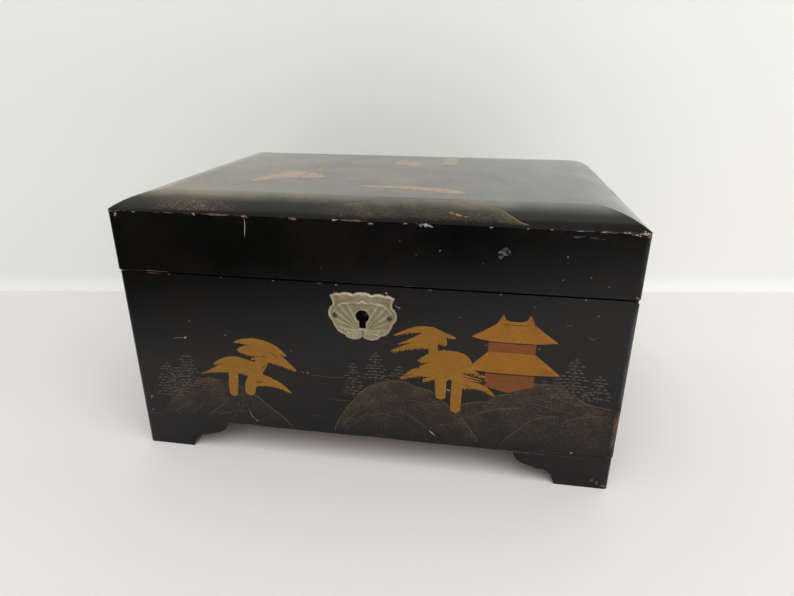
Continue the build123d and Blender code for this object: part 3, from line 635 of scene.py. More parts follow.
caseLacquer = makeLacquer("caseLacquer", caseBox)
# the lid and the paintings on its crown share the bloom and its painted sheen
lidLacquer = makeLacquer("lidLacquer", lidBox, dustAmount=0.007, wearAmount=0.55, bloomSheenBox=lidBox)
footLacquer = makeLacquer("footLacquer", footBox, wearAmount=0.6, dustAmount=0.05)
trayLacquer = makeLacquer("trayLacquer", dustAmount=0.04)
hillLacquer = makeLacquer("hillLacquer", powder=dustPowder)
# the case's right corner: a painted highlight in grey powder
cornerHighlightLacquer = makeLacquer("cornerHighlightLacquer", powder=cornerHighlightPowder)
bareCornerLacquer = makeLacquer("bareCornerLacquer", powder=barePowder)
redHillLacquer = makeLacquer("redHillLacquer", powder=redPowder)
crownHillLacquer = makeLacquer("crownHillLacquer", dustAmount=0.007, powder=crownPowder, bloomSheenBox=lidBox)
crownRustLacquer = makeLacquer("crownRustLacquer", dustAmount=0.007, powder=rustPowder, bloomSheenBox=lidBox,
                               cells=2900.0)
crownOrangeLacquer = makeLacquer("crownOrangeLacquer", dustAmount=0.007, powder=orangePowder, bloomSheenBox=lidBox)
goldPaint = makePaint("goldPaint", (0.220, 0.098, 0.009), (0.285, 0.133, 0.016), rough=0.5)
roofPaint = makePaint("roofPaint", (0.265, 0.105, 0.008), (0.330, 0.140, 0.013), rough=0.48,
                      stretch=(1, 1, 1))
wallPaint = makePaint("wallPaint", (0.158, 0.050, 0.010), (0.208, 0.070, 0.015), rough=0.55)
linePaint = makePaint("linePaint", (0.070, 0.052, 0.028), (0.125, 0.095, 0.055), rough=0.5, streaks=500.0,
                      rubbed=0.4)
firPaint = makePaint("firPaint", (0.046, 0.034, 0.024), (0.084, 0.064, 0.045), rough=0.5, rubbed=0.3)
roofLine = makePaint("roofLine", (0.15, 0.056, 0.008), (0.20, 0.080, 0.012), rough=0.5)
boardPaint = makePaint("boardPaint", (0.10, 0.036, 0.014), (0.15, 0.052, 0.02), rough=0.55)
darkLine = makePaint("darkLine", (0.003, 0.003, 0.0025), (0.006, 0.005, 0.004), rough=0.3)
crestPaint = makePaint("crestPaint", (0.13, 0.105, 0.040), (0.21, 0.17, 0.075), rough=0.5, rubbed=0.4)
sparkPaint = makePaint("sparkPaint", (0.17, 0.085, 0.035), (0.34, 0.20, 0.10), rough=0.5, rubbed=0.6)
chipGesso = makePaint("chipGesso", (0.28, 0.245, 0.21), (0.50, 0.47, 0.43), rough=0.8, rubbed=0.3,
                      under=(0.2, 0.12, 0.07))
groundCoat = makePaint("groundCoat", (0.13, 0.055, 0.030), (0.24, 0.125, 0.075), rough=0.7)
brownEdge = makePaint("brownEdge", (0.030, 0.016, 0.011), (0.075, 0.040, 0.026), rough=0.6)
greyChip = makePaint("greyChip", (0.13, 0.135, 0.145), (0.30, 0.31, 0.33), rough=0.7, rubbed=0.4)
markPaint = makePaint("markPaint", (0.040, 0.041, 0.043), (0.085, 0.086, 0.088), rough=0.6)
castPewter = makePewter()
nailSteel = makeMetal("nailSteel", (0.06, 0.05, 0.042), (0.13, 0.11, 0.09), (0.04, 0.03, 0.02), rough=0.45)
# near-black steel for the lock parts seen through the keyhole, a painted shade of the dark hole
keyholeShadeSteel = makeMetal("keyholeShadeSteel", (0.012, 0.010, 0.008), (0.025, 0.021, 0.017), (0.008, 0.006, 0.004),
                       rough=0.6)
lockSteel = makeMetal("lockSteel", (0.16, 0.15, 0.14), (0.30, 0.29, 0.27), (0.07, 0.05, 0.035), rough=0.36)
hingeBrass = makeMetal("hingeBrass", (0.50, 0.36, 0.15), (0.70, 0.53, 0.26), (0.22, 0.14, 0.06), rough=0.32)
redVelvet = makeVelvet("redVelvet", (0.075, 0.004, 0.008), (0.21, 0.010, 0.020))
redSatin = makeSatin()
bareWood = makeWood()
silveredMirror = makeMirror()

finishes = {
    "black_lacquer": caseLacquer,
    "bare_wood": bareWood,
    "tray_lacquer": trayLacquer,
    "red_velvet": redVelvet,
    "satin_ribbon": redSatin,
    "mirror": silveredMirror,
    "pewter": castPewter,
    "lock_steel": lockSteel,
    "hinge_brass": hingeBrass,
}


def finishNode(name, node):
    # a solid takes the finish of its slot, but the lid and the feet have wear along their own edges
    slotName = node.data.materials[0].name.split(".")[0]
    chosen = finishes[slotName]
    if slotName == "black_lacquer" and name.startswith("lid_"):
        chosen = lidLacquer
    if slotName == "black_lacquer" and name.startswith("foot_"):
        chosen = footLacquer
    if name == "escutcheon_nails":
        chosen = nailSteel
    # the lock's cover and pin behind the keyhole take near-black steel, painted shade so that the hole reads
    # dark
    if name in ("lock_cover", "lock_drill_pin"):
        chosen = keyholeShadeSteel
    node.data.materials[0] = chosen


for name, node in nodes.items():
    finishNode(name, node)
print("finishes on every solid")

# surfaces that the painted pieces lie on: each takes plan points and a lift, both in millimetres

def onFront(plan, lift):
    # plan is (x, z) on the case's front face
    return np.stack([plan[..., 0], frontY - lift, plan[..., 1]], -1)


def onLidFront(plan, lift):
    # plan is (x, z) on the lid's front face
    return np.stack([plan[..., 0], lidFaceY - lift, plan[..., 1]], -1)


crownSet = {"radius": 35.2, "run": 21.46}


def crownDrop(distanceIn):
    # how far an arc of the crown's radius has fallen where the flat top ends, distanceIn from its side
    past = np.clip(crownSet["run"] - distanceIn, 0, crownSet["run"])
    return crownSet["radius"] - np.sqrt(crownSet["radius"] ** 2 - past ** 2)


def onCrown(plan, lift):
    # plan is (x, y) seen from above; lift goes along the normal, (-slope in x, -slope in y, 1) made one long
    x, y = plan[..., 0], plan[..., 1]

    def height(px, py):
        # the flat top less the greater drop
        sideways = crownDrop(crownHigh[0] - np.abs(px))
        endways = crownDrop(crownHigh[1] - np.abs(py))
        return crownHigh[2] - np.maximum(sideways, endways)

    z = height(x, y)
    step = 0.05
    slopeX = (height(x + step, y) - height(x - step, y)) / (2 * step)
    slopeY = (height(x, y + step) - height(x, y - step)) / (2 * step)
    normal = np.stack([-slopeX, -slopeY, np.ones_like(z)], -1)
    normal = normal / np.linalg.norm(normal, axis=-1, keepdims=True)
    return np.stack([x, y, z], -1) + normal * np.asarray(lift)[..., None]


def smoothLine(points, count):
    # a curve through the given points: Catmull-Rom weights of four neighbours, read at even parameters
    p = np.asarray(points, float)
    p = np.concatenate([[2 * p[0] - p[1]], p, [2 * p[-1] - p[-2]]])
    t = np.linspace(0, len(p) - 3, count)
    i = np.minimum(t.astype(int), len(p) - 4)
    u = (t - i)[:, None]
    a, b, c, d = p[i], p[i + 1], p[i + 2], p[i + 3]
    square, cube = 2 * a - 5 * b + 4 * c - d, 3 * b - a - 3 * c + d
    return 0.5 * (2 * b + (c - a) * u + square * u ** 2 + cube * u ** 3)


def bridge(lower, upper, shares):
    # rows of points from one line to the other: lower times one less the share, plus upper times the share
    v = shares[None, :, None]
    return lower[:, None] * (1 - v) + upper[:, None] * v


def waves(t, seed, count=5, low=1.0, high=7.0):
    # a smooth uneven line between about -1 and 1: sines of seeded turns and phases added up
    rng = np.random.default_rng(seed)
    turns = rng.uniform(low, high, count)
    phases = rng.uniform(0, 2 * math.pi, count)
    weights = rng.uniform(0.5, 1.0, count)
    t = np.asarray(t, float)[..., None]
    return (np.sin(2 * math.pi * turns * t + phases) * weights).sum(-1) / weights.sum()


def shellFaces(rows, columns):
    # the faces of two like grids, one over the other: the first, the second turned over, and a strip round
    # the rim
    count = rows * columns
    quads = gridFaces(rows, columns)
    at = np.arange(count).reshape(rows, columns)
    rim = np.concatenate([at[:, 0], at[-1, 1:], at[-2::-1, -1], at[0, -2:0:-1]])
    ahead = np.roll(rim, -1)
    side = np.stack([ahead, rim, rim + count, ahead + count], -1)
    return np.concatenate([quads, quads[:, ::-1] + count, side])


def closedFilm(plan, lift, onto, under=0.04):
    # a sheet over the grid plan, raised by lift; the same sheet sunk by under closes it from below
    raised = onto(plan, lift).reshape(-1, 3)
    sunk = onto(plan, np.full(plan.shape[:2], -under)).reshape(-1, 3)
    return np.concatenate([raised, sunk]), shellFaces(*plan.shape[:2])


def rimmed(plan, height):
    # a film's lift: full height inside, three tenths of it on the rim
    lift = np.full(plan.shape[:2], float(height))
    lift[[0, -1], :] = 0.3 * height
    lift[:, [0, -1]] = 0.3 * height
    return lift


def frontFilm(plan, height):
    # a film on the case's front with a thin rim
    return closedFilm(plan, rimmed(plan, height), onFront)


def joinParts(parts):
    # several (points, faces) put end to end, the faces' numbers moved along
    starts = np.cumsum([0] + [len(p) for p, f in parts[:-1]])
    return np.concatenate([p for p, f in parts]), np.concatenate([f + s for (p, f), s in zip(parts, starts)])


def strokeParts(lines, widths, onto, height, under=0.04):
    # brush strokes: lines is (strokes, stations, 2), widths is for each station; four corners carried along
    # each line, two on the ground at full width and two raised at six tenths of it, with both ends capped
    lines = np.asarray(lines, float)
    strokes, stations = lines.shape[:2]
    along = np.gradient(lines, axis=1)
    along = along / np.maximum(np.linalg.norm(along, axis=-1, keepdims=True), 1e-9)
    across = np.stack([-along[..., 1], along[..., 0]], -1)
    shares = np.array([0.5, 0.3, -0.3, -0.5])
    lifts = np.array([-under, height, height, -under])
    widths = np.broadcast_to(widths, lines.shape[:2])
    plan = lines[:, :, None] + across[:, :, None] * (shares[:, None] * widths[:, :, None, None])
    points = onto(plan, np.broadcast_to(lifts, plan.shape[:-1]))
    first = (np.arange(strokes) * stations * 4)[:, None, None, None]
    i = (np.arange(stations - 1) * 4)[None, :, None, None]
    c = np.arange(4)[None, None, :, None]
    d = (np.arange(4)[None, None, :, None] + 1) % 4
    sides = np.concatenate([first + i + c, first + i + d, first + i + 4 + d, first + i + 4 + c],
                           -1).reshape(-1, 4)
    start = (np.arange(strokes) * stations * 4)[:, None]
    end = start + (stations - 1) * 4
    caps = np.concatenate([start + np.array([[3, 2, 1, 0]]), end + np.array([[0, 1, 2, 3]])])
    return points.reshape(-1, 3), np.concatenate([sides, caps])


def taper(stations, width, ends=0.25):
    # a stroke's width: full along it, less towards both ends
    t = np.linspace(0, 1, stations)
    return width * np.clip(np.minimum(t, 1 - t) / ends, 0.15, 1.0) ** 0.6


def settle(piece, material, body):
    # gives a piece its material and the body that carries it
    piece.data.materials.append(material)
    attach(piece, body)


def paint(name, parts, material, body="case"):
    # one painted piece from its parts
    points, faces = joinParts(parts)
    settle(putMesh(name, points, [faces]), material, body)


def drawLines(name, lines, widths, onto, height, material, body="case", under=0.04):
    # one painted piece of brush strokes
    paint(name, [strokeParts(lines, widths, onto, height, under)], material, body)


def layFilm(name, plan, lift, onto, powder, material, body, under=0.04):
    # one powdered film; its underside has the powder of its face
    points, faces = closedFilm(plan, lift, onto, under)
    piece = putMesh(name, points, [faces])
    giveValue(piece, "powder", np.tile(np.clip(powder, 0, 1).ravel(), 2))
    settle(piece, material, body)


def combEdge(count, teeth, depth, seed):
    # teeth as a brush leaves them: a slanted saw with uneven spacing and depth
    t = np.linspace(0, 1, count)
    place_ = t * teeth + 0.35 * waves(t, seed, 4, 2, 9)
    saw = np.abs((place_ % 1.0) - 0.7) / 0.7
    uneven = 0.65 + 0.35 * waves(t, seed + 1, 4, 3, 12)
    return depth * saw * uneven


def frond(top, bottom, teeth, depth, seed, count=210):
    # foliage: the space between a top and a bottom curve, with a toothed underside and a lightly toothed top
    teeth, depth = teeth * 1.8, depth * 2.2
    upper = smoothLine(top, count)
    lower = smoothLine(bottom, count)
    fade = np.clip(np.minimum(np.linspace(0, 1, count), np.linspace(1, 0, count)) * 12, 0, 1)
    lower = lower - (combEdge(count, teeth, depth, seed) * fade)[:, None] * np.array([0.35, 1])
    upper[:, 1] = upper[:, 1] + 0.42 * combEdge(count, teeth * 1.5, depth, seed + 5) * fade
    return bridge(lower, upper, np.linspace(0, 1, 5))


foliageSet = {
    # heights: of a frond, then how much higher each next frond, the trunks, each next trunk and the gaps lie
    "height": 0.10, "frondStep": 0.004, "trunksUp": 0.05, "trunkStep": 0.003, "gapsUp": 0.09,
    # right-hand pines: (top curve, bottom curve, teeth, depth)
    "right": [
        ([(15.2, 79.1), (19, 81.3), (24.5, 83.9), (29, 85.0), (34.7, 84.9), (38.6, 83.4), (41.8, 82.1),
          (46.2, 80.5)],
         [(15.2, 78.8), (20.5, 80.0), (25.5, 81.2), (29.5, 81.4), (34.0, 79.0), (38.5, 79.4), (42.3, 79.9),
          (46.0, 79.5)], 9, 0.5),
        ([(17.5, 74.6), (20.6, 76.0), (23.5, 77.6), (28.0, 80.3), (33, 82.4), (37.5, 81.6), (41.3, 79.8),
          (42.0, 76.2)],
         [(17.7, 74.1), (20.5, 74.9), (23.5, 75.6), (28.0, 75.8), (33, 75.5), (37.5, 76.5), (40.5, 75.9),
          (41.6, 75.5)], 10, 0.7),
        ([(14.1, 70.6), (18.5, 72.8), (23.5, 75.3), (28.5, 76.8), (33.0, 77.6), (37.0, 78.0)],
         [(14.2, 70.1), (18.8, 71.3), (24.0, 72.6), (28.5, 73.4), (32.8, 73.9), (37.6, 76.4)], 8, 0.8),
        ([(27.9, 66.5), (29.4, 67.7), (33.0, 70.2), (38.6, 72.6), (43, 72.9), (47.8, 72.5), (51.5, 71.0),
          (53.8, 68.8), (54.6, 66.4)],
         [(28.1, 65.7), (31.0, 65.0), (33.0, 62.0), (38.6, 58.0), (43, 57.0), (47.8, 58.5), (51.0, 61.5),
          (53.2, 63.0), (54.8, 64.6)], 7, 0.8),
        ([(28.5, 63.2), (30.6, 63.9), (33.5, 65.5), (37, 66.5)],
         [(28.6, 62.5), (30.6, 61.9), (33.5, 60.8), (37, 59.5)], 3, 0.6),
        ([(18.8, 56.1), (21.5, 58.0), (25.2, 60.9), (29, 62.0), (33, 63.0), (38, 62.5)],
         [(19.1, 54.9), (22.0, 55.9), (25.5, 57.0), (30.0, 58.0), (34, 57.2), (38, 56.5)], 7, 0.8),
        ([(30.2, 55.6), (32.5, 57.2), (35.0, 58.4), (38, 59.0)],
         [(30.6, 54.4), (33.0, 55.2), (35.5, 56.2), (38, 56.8)], 3, 0.5),
        ([(47.0, 66.0), (51.5, 65.5), (55.4, 63.6), (58.5, 61.3), (61.8, 60.2)],
         [(47.0, 61.8), (51.5, 61.3), (55.0, 60.8), (58.5, 60.0), (61.6, 59.7)], 6, 0.6),
        ([(46.0, 60.0), (50.5, 60.2), (54.5, 59.4), (58.5, 58.3), (61.0, 57.5)],
         [(46.0, 57.0), (50.5, 57.6), (54.5, 57.4), (58.5, 57.2), (60.8, 57.0)], 5, 0.4),
        ([(45.5, 57.0), (50.5, 57.4), (55.5, 56.6), (60.0, 55.4), (63.8, 52.9), (66.6, 49.9)],
         [(45.5, 51.4), (50.5, 52.6), (55.5, 53.0), (60.2, 52.7), (63.2, 51.2), (66.3, 49.3)], 9, 0.7),
    ],
    "left": [
        ([(-69.2, 68.8), (-65.8, 70.2), (-60.2, 71.3), (-55.8, 71.2), (-50.2, 69.9), (-45.6, 67.5),
          (-40.7, 63.0)],
         [(-69.0, 68.2), (-65.3, 68.1), (-61.0, 65.5), (-55.8, 64.0), (-50.2, 62.5), (-45.0, 62.3),
          (-41.4, 62.4)], 7, 0.5),
        ([(-68.0, 64.3), (-65.2, 66.0), (-61.3, 67.2), (-56.5, 68.0), (-51, 67.6), (-46, 65.0), (-42.6, 61.6),
          (-39.0, 57.9), (-35.9, 54.7)],
         [(-67.8, 63.5), (-65.2, 62.6), (-61.3, 61.6), (-56.5, 61.0), (-51.5, 58.6), (-46, 57.4),
          (-42.4, 56.3), (-39.2, 55.2), (-36.2, 54.0)], 12, 0.6),
        ([(-60.6, 59.5), (-58.4, 60.4), (-56.0, 61.4), (-53.5, 61.8)],
         [(-60.4, 58.8), (-58.2, 58.9), (-56.0, 58.9), (-53.5, 58.9)], 3, 0.3),
        ([(-82.3, 54.6), (-79.0, 57.0), (-73.6, 59.4), (-68.0, 59.8), (-62.4, 58.5), (-56.8, 56.9),
          (-53.4, 55.0)],
         [(-82.0, 54.0), (-78.0, 53.6), (-73.6, 52.0), (-68.0, 50.5), (-62.4, 49.5), (-56.8, 50.5),
          (-54.6, 53.0)], 10, 0.5),
        ([(-90.4, 48.1), (-85.4, 50.2), (-80.5, 53.0), (-75.5, 55.2), (-70.5, 55.5), (-66.0, 55.0)],
         [(-90.2, 47.7), (-85.4, 49.0), (-80.5, 49.9), (-75.5, 50.4), (-70.5, 50.6), (-66.0, 50.8)], 12, 0.6),
        ([(-60.5, 52.0), (-56.0, 51.0), (-50.2, 48.7), (-44.8, 45.8), (-39.6, 41.3)],
         [(-59.6, 43.2), (-55.5, 43.9), (-50.2, 43.9), (-44.8, 42.8), (-40.0, 40.6)], 8, 0.6),
    ],
    # trunks and necks: (points down the middle, widths)
    "trunks": [
        ([(34.6, 78.0), (35.2, 73.0), (35.6, 70.0)], [5.6, 4.6, 5.2]),
        ([(39.5, 59.0), (39.5, 57.0), (39.6, 50.0), (39.9, 45.0)], [5.8, 5.8, 5.4, 4.8]),
        ([(47.6, 58.0), (47.8, 55.5), (47.5, 46.0), (47.4, 37.7)], [5.6, 5.5, 5.4, 5.0]),
        ([(-53.6, 62.5), (-55.4, 57.5), (-58.8, 50.5), (-62.2, 43.0), (-62.8, 37.0)],
         [5.0, 5.8, 6.6, 6.2, 5.2]),
        ([(-51.7, 61.5), (-51.9, 57.6), (-54.4, 53.5), (-57.5, 51.0)], [1.2, 1.2, 1.5, 2.4]),
        ([(-71.2, 53.0), (-71.5, 47.0), (-72.0, 43.0), (-72.4, 35.6)], [5.4, 5.4, 5.4, 4.6]),
    ],
    # gaps between fingers of foliage, the black of the ground showing: points, width
    "gaps": [
        ([(14.0, 77.9), (22.5, 80.6), (29.5, 81.5)], 0.9), ([(16.6, 73.6), (21.5, 75.1), (25.1, 75.9)], 0.6),
        ([(28.4, 64.4), (31.0, 64.9), (33.7, 66.0)], 1.0), ([(62.5, 56.9), (55.5, 58.3), (50.7, 59.3)], 0.9),
        ([(59.5, 60.9), (54.0, 61.0), (49.6, 61.4)], 0.6), ([(54.6, 54.4), (52.5, 54.6), (50.8, 55.2)], 0.5),
        ([(17.4, 56.6), (22.0, 57.2), (26.0, 58.6)], 0.5), ([(29.4, 56.3), (32.0, 57.0), (34.4, 57.6)], 0.6),
        ([(-70.0, 67.4), (-64.5, 67.5), (-60.7, 67.5)], 0.8),
             ([(-38.6, 60.4), (-40.5, 61.6), (-43.9, 63.0)], 0.8),
        ([(-54.4, 61.3), (-53.2, 61.5), (-51.8, 61.6)], 0.8),
             ([(-52.6, 56.6), (-54.3, 54.4), (-56.0, 53.0)], 0.6),
        ([(-83.5, 54.1), (-80.5, 54.5), (-76.6, 54.8)], 0.6),
             ([(-58.6, 45.5), (-57.0, 45.9), (-55.0, 46.2)], 0.9),
        ([(-91.0, 47.9), (-86.0, 49.4), (-82.5, 50.2)], 0.4),
             ([(-49.0, 63.9), (-47.0, 62.4), (-45.6, 60.9)], 0.4),
    ],
}


def trunkPlan(points, widths, count=40):
    # a trunk: its middle line and half its width to each side, its foot rounded
    line = smoothLine(points, count)
    width = smoothLine(np.asarray(widths, float)[:, None], count)[:, 0]
    t = np.linspace(0, 1, count)
    width = width * np.sqrt(np.clip((1.0 - t) * 13, 0.06, 1)) * (1 + 0.05 * waves(t, 31, 4, 2, 7))
    along = np.gradient(line, axis=0)
    along = along / np.linalg.norm(along, axis=-1, keepdims=True)
    across = np.stack([along[:, 1], -along[:, 0]], -1)
    v = np.linspace(0.5, -0.5, 5)[None, :, None]
    return line[:, None] + across[:, None] * width[:, None, None] * v


def makeFoliage(values):
    # gold pines, each frond and trunk a raised film of its own
    height = values["height"]
    for side in ("left", "right"):
        parts = []
        for number, (top, bottom, teeth, depth) in enumerate(values[side]):
            plan = frond(top, bottom, teeth, depth, seed=11 + number)
            parts.append(frontFilm(plan, height + values["frondStep"] * number))
        paint(side + "PineFoliage", parts, goldPaint)
    parts = []
    for number, (points, widths) in enumerate(values["trunks"]):
        plan = trunkPlan(points, widths)
        parts.append(frontFilm(plan, height + values["trunksUp"] + values["trunkStep"] * number))
    paint("pineTrunks", parts, goldPaint)
    gaps = np.stack([smoothLine(points, 14) for points, width in values["gaps"]])
    share = np.linspace(1.0, 0.15, 14)[None] ** 0.7
    wide = np.array([width for points, width in values["gaps"]])[:, None] * share
    drawLines("foliageGaps", gaps, wide, onFront, height + values["gapsUp"], darkLine)


pagodaSet = {
    # heights: of the roofs, then how much higher or lower the rest lie
    "height": 0.12, "wallUp": -0.04, "postUp": -0.05, "tileUp": 0.02, "boardUp": -0.015, "shadowUp": 0.012,
    "upperRoofTop": [(53.9, 81.9), (60.0, 85.6), (65.3, 89.3), (67.4, 93.0), (68.1, 94.1), (69.4, 91.4),
                     (71.5, 90.7), (76.5, 90.7), (79.2, 91.6), (80.5, 94.4), (81.5, 93.0), (83.0, 89.6),
                     (88.4, 85.4), (94.2, 81.2)],
    "upperRoofBottom": [(53.9, 81.5), (57.0, 80.7), (60.0, 80.2), (63.5, 79.8), (67.0, 79.8), (70.0, 79.8),
                        (72.0, 79.8), (76.0, 79.8), (79.0, 79.8), (81.0, 79.8), (83.5, 79.8), (87.0, 80.0),
                        (90.5, 80.6), (94.2, 80.9)],
    "lowerRoofTop": [(52.4, 64.3), (57.0, 69.0), (61.8, 74.0), (68.0, 74.2), (78.0, 74.2), (84.6, 74.0),
                     (90.6, 69.2), (96.7, 63.9)],
    "lowerRoofBottom": [(52.4, 63.6), (57.0, 63.2), (61.8, 63.1), (68.0, 63.0), (78.0, 63.0), (84.6, 63.0),
                        (90.6, 63.2), (96.7, 63.5)],
    "upperWall": ([(61.9, 79.9), (73.0, 79.9), (84.3, 79.9)], [(61.9, 73.8), (73.0, 73.8), (84.3, 73.8)]),
    "lowerWall": ([(61.2, 63.1), (73.0, 63.1), (85.0, 63.1)], [(61.2, 54.6), (73.2, 52.2), (85.0, 56.6)]),
    # boards that show beside the upper wall: their left sides, and their top and foot
    "posts": (60.6, 85.6), "postZ": (77.8, 77.2),
    # board lines on the upper and the lower wall: lowest, highest, how many
    "boards": [(74.6, 79.2, 5), (54.2, 62.2, 11)],
    # tile lines on each roof: how many, and how far they slant as a share of the roof
    "hatchUpper": (34, 0.10),
    "hatchLower": (40, 0.22),
    "shadows": [[(53.5, 63.1), (62, 62.6), (74, 62.5), (86, 62.6), (95.8, 63.0)],
                [(55.5, 80.7), (62, 79.6), (74, 79.4), (86, 79.6), (92.8, 80.3)],
                [(66.6, 89.5), (70, 89.1), (75, 89.0), (79, 89.2), (82, 89.4)]],
    "dashes": [[(88.3, 65.6), (90.2, 65.2), (92.0, 64.9)], [(91.6, 66.2), (93.2, 65.3), (94.6, 64.6)],
               [(89.6, 66.4), (90.6, 66.2), (91.4, 66.3)]],
}


def straightLine(points, count):
    # a line through the points without rounding its corners, each run given an equal share
    p = np.asarray(points, float)
    t = np.linspace(0, len(p) - 1, count)
    return np.stack([np.interp(t, np.arange(len(p)), p[:, k]) for k in (0, 1)], -1)


def between(top, bottom, count, columns=5, makeLine=straightLine):
    # the grid of points that lie straight between two lines
    return bridge(makeLine(bottom, count), makeLine(top, count), np.linspace(0, 1, columns))


def roofHatching(top, bottom, number, slant):
    # tile lines: each runs straight from a share of the top line to a later share of the bottom line
    upper, lower = straightLine(top, 200), straightLine(bottom, 200)
    start = np.linspace(-slant, 1, number + 2)[1:-1]
    v = np.linspace(0.04, 0.96, 7)[None, :]
    share = start[:, None] + slant * v
    at = np.clip(share, 0, 1) * 199
    inside = (share > 0.015) & (share < 0.985)

    def read(line):
        # the line's points at the shares
        return np.stack([np.interp(at, np.arange(200), line[:, k]) for k in (0, 1)], -1)

    lines = read(upper) * (1 - v[..., None]) + read(lower) * v[..., None]
    return lines[inside.all(1)]


def makePagoda(values):
    # roofs and walls as films, then tile lines, board lines, shadows under the eaves and red dashes
    height = values["height"]
    roofs = []
    for top, bottom in (("upperRoofTop", "upperRoofBottom"), ("lowerRoofTop", "lowerRoofBottom")):
        plan = between(values[top], values[bottom], 131)
        roofs.append(frontFilm(plan, height))
    paint("pagodaRoofs", roofs, roofPaint)
    walls = []
    for top, bottom in (values["upperWall"], values["lowerWall"]):
        plan = between(top, bottom, 21)
        walls.append(frontFilm(plan, height + values["wallUp"]))
    topZ, footZ = values["postZ"]
    for x in values["posts"]:
        plan = between([(x - 0.4, topZ), (x + 0.8, topZ)], [(x - 0.4, footZ), (x + 0.8, footZ)], 5)
        walls.append(frontFilm(plan, height + values["postUp"]))
    paint("pagodaWalls", walls, wallPaint)
    lines = []
    for roof in ("upper", "lower"):
        number, slant = values["hatch" + roof.title()]
        hatch = roofHatching(values[roof + "RoofTop"], values[roof + "RoofBottom"], number, slant)
        lines.append(strokeParts(hatch, 0.22, onFront, height + values["tileUp"], under=-height * 0.8))
    paint("roofTileLines", lines, roofLine)
    (low, high, upperCount), (foot, top, lowerCount) = values["boards"]
    z = np.concatenate([np.linspace(low, high, upperCount), np.linspace(foot, top, lowerCount)])
    # the lower wall's boards are cut short by the slope of its foot on both sides
    left = np.where(z > low - 1, 62.3, np.interp(z, [52.2, 54.6], [73.0, 61.8]))
    right = np.where(z > low - 1, 83.9, np.interp(z, [52.2, 56.6], [73.5, 84.5]))
    t = np.linspace(0, 1, 9)[None, :]
    x = left[:, None] + (right - left)[:, None] * t
    boards = np.stack([x, z[:, None] + 0.12 * waves(t + z[:, None], 5)], -1)
    drawLines("wallBoardLines", boards, 0.20, onFront, height + values["boardUp"], boardPaint, under=-0.03)
    dark = np.stack([smoothLine(line, 30) for line in values["shadows"]])
    drawLines("roofShadowLines", dark, taper(30, 0.4), onFront, height + values["shadowUp"], darkLine,
              under=-0.02)
    dashes = np.stack([smoothLine(line, 9) for line in values["dashes"]])
    drawLines("roofRedDashes", dashes, taper(9, 0.6), onFront, height + values["tileUp"], wallPaint,
              under=-0.05)


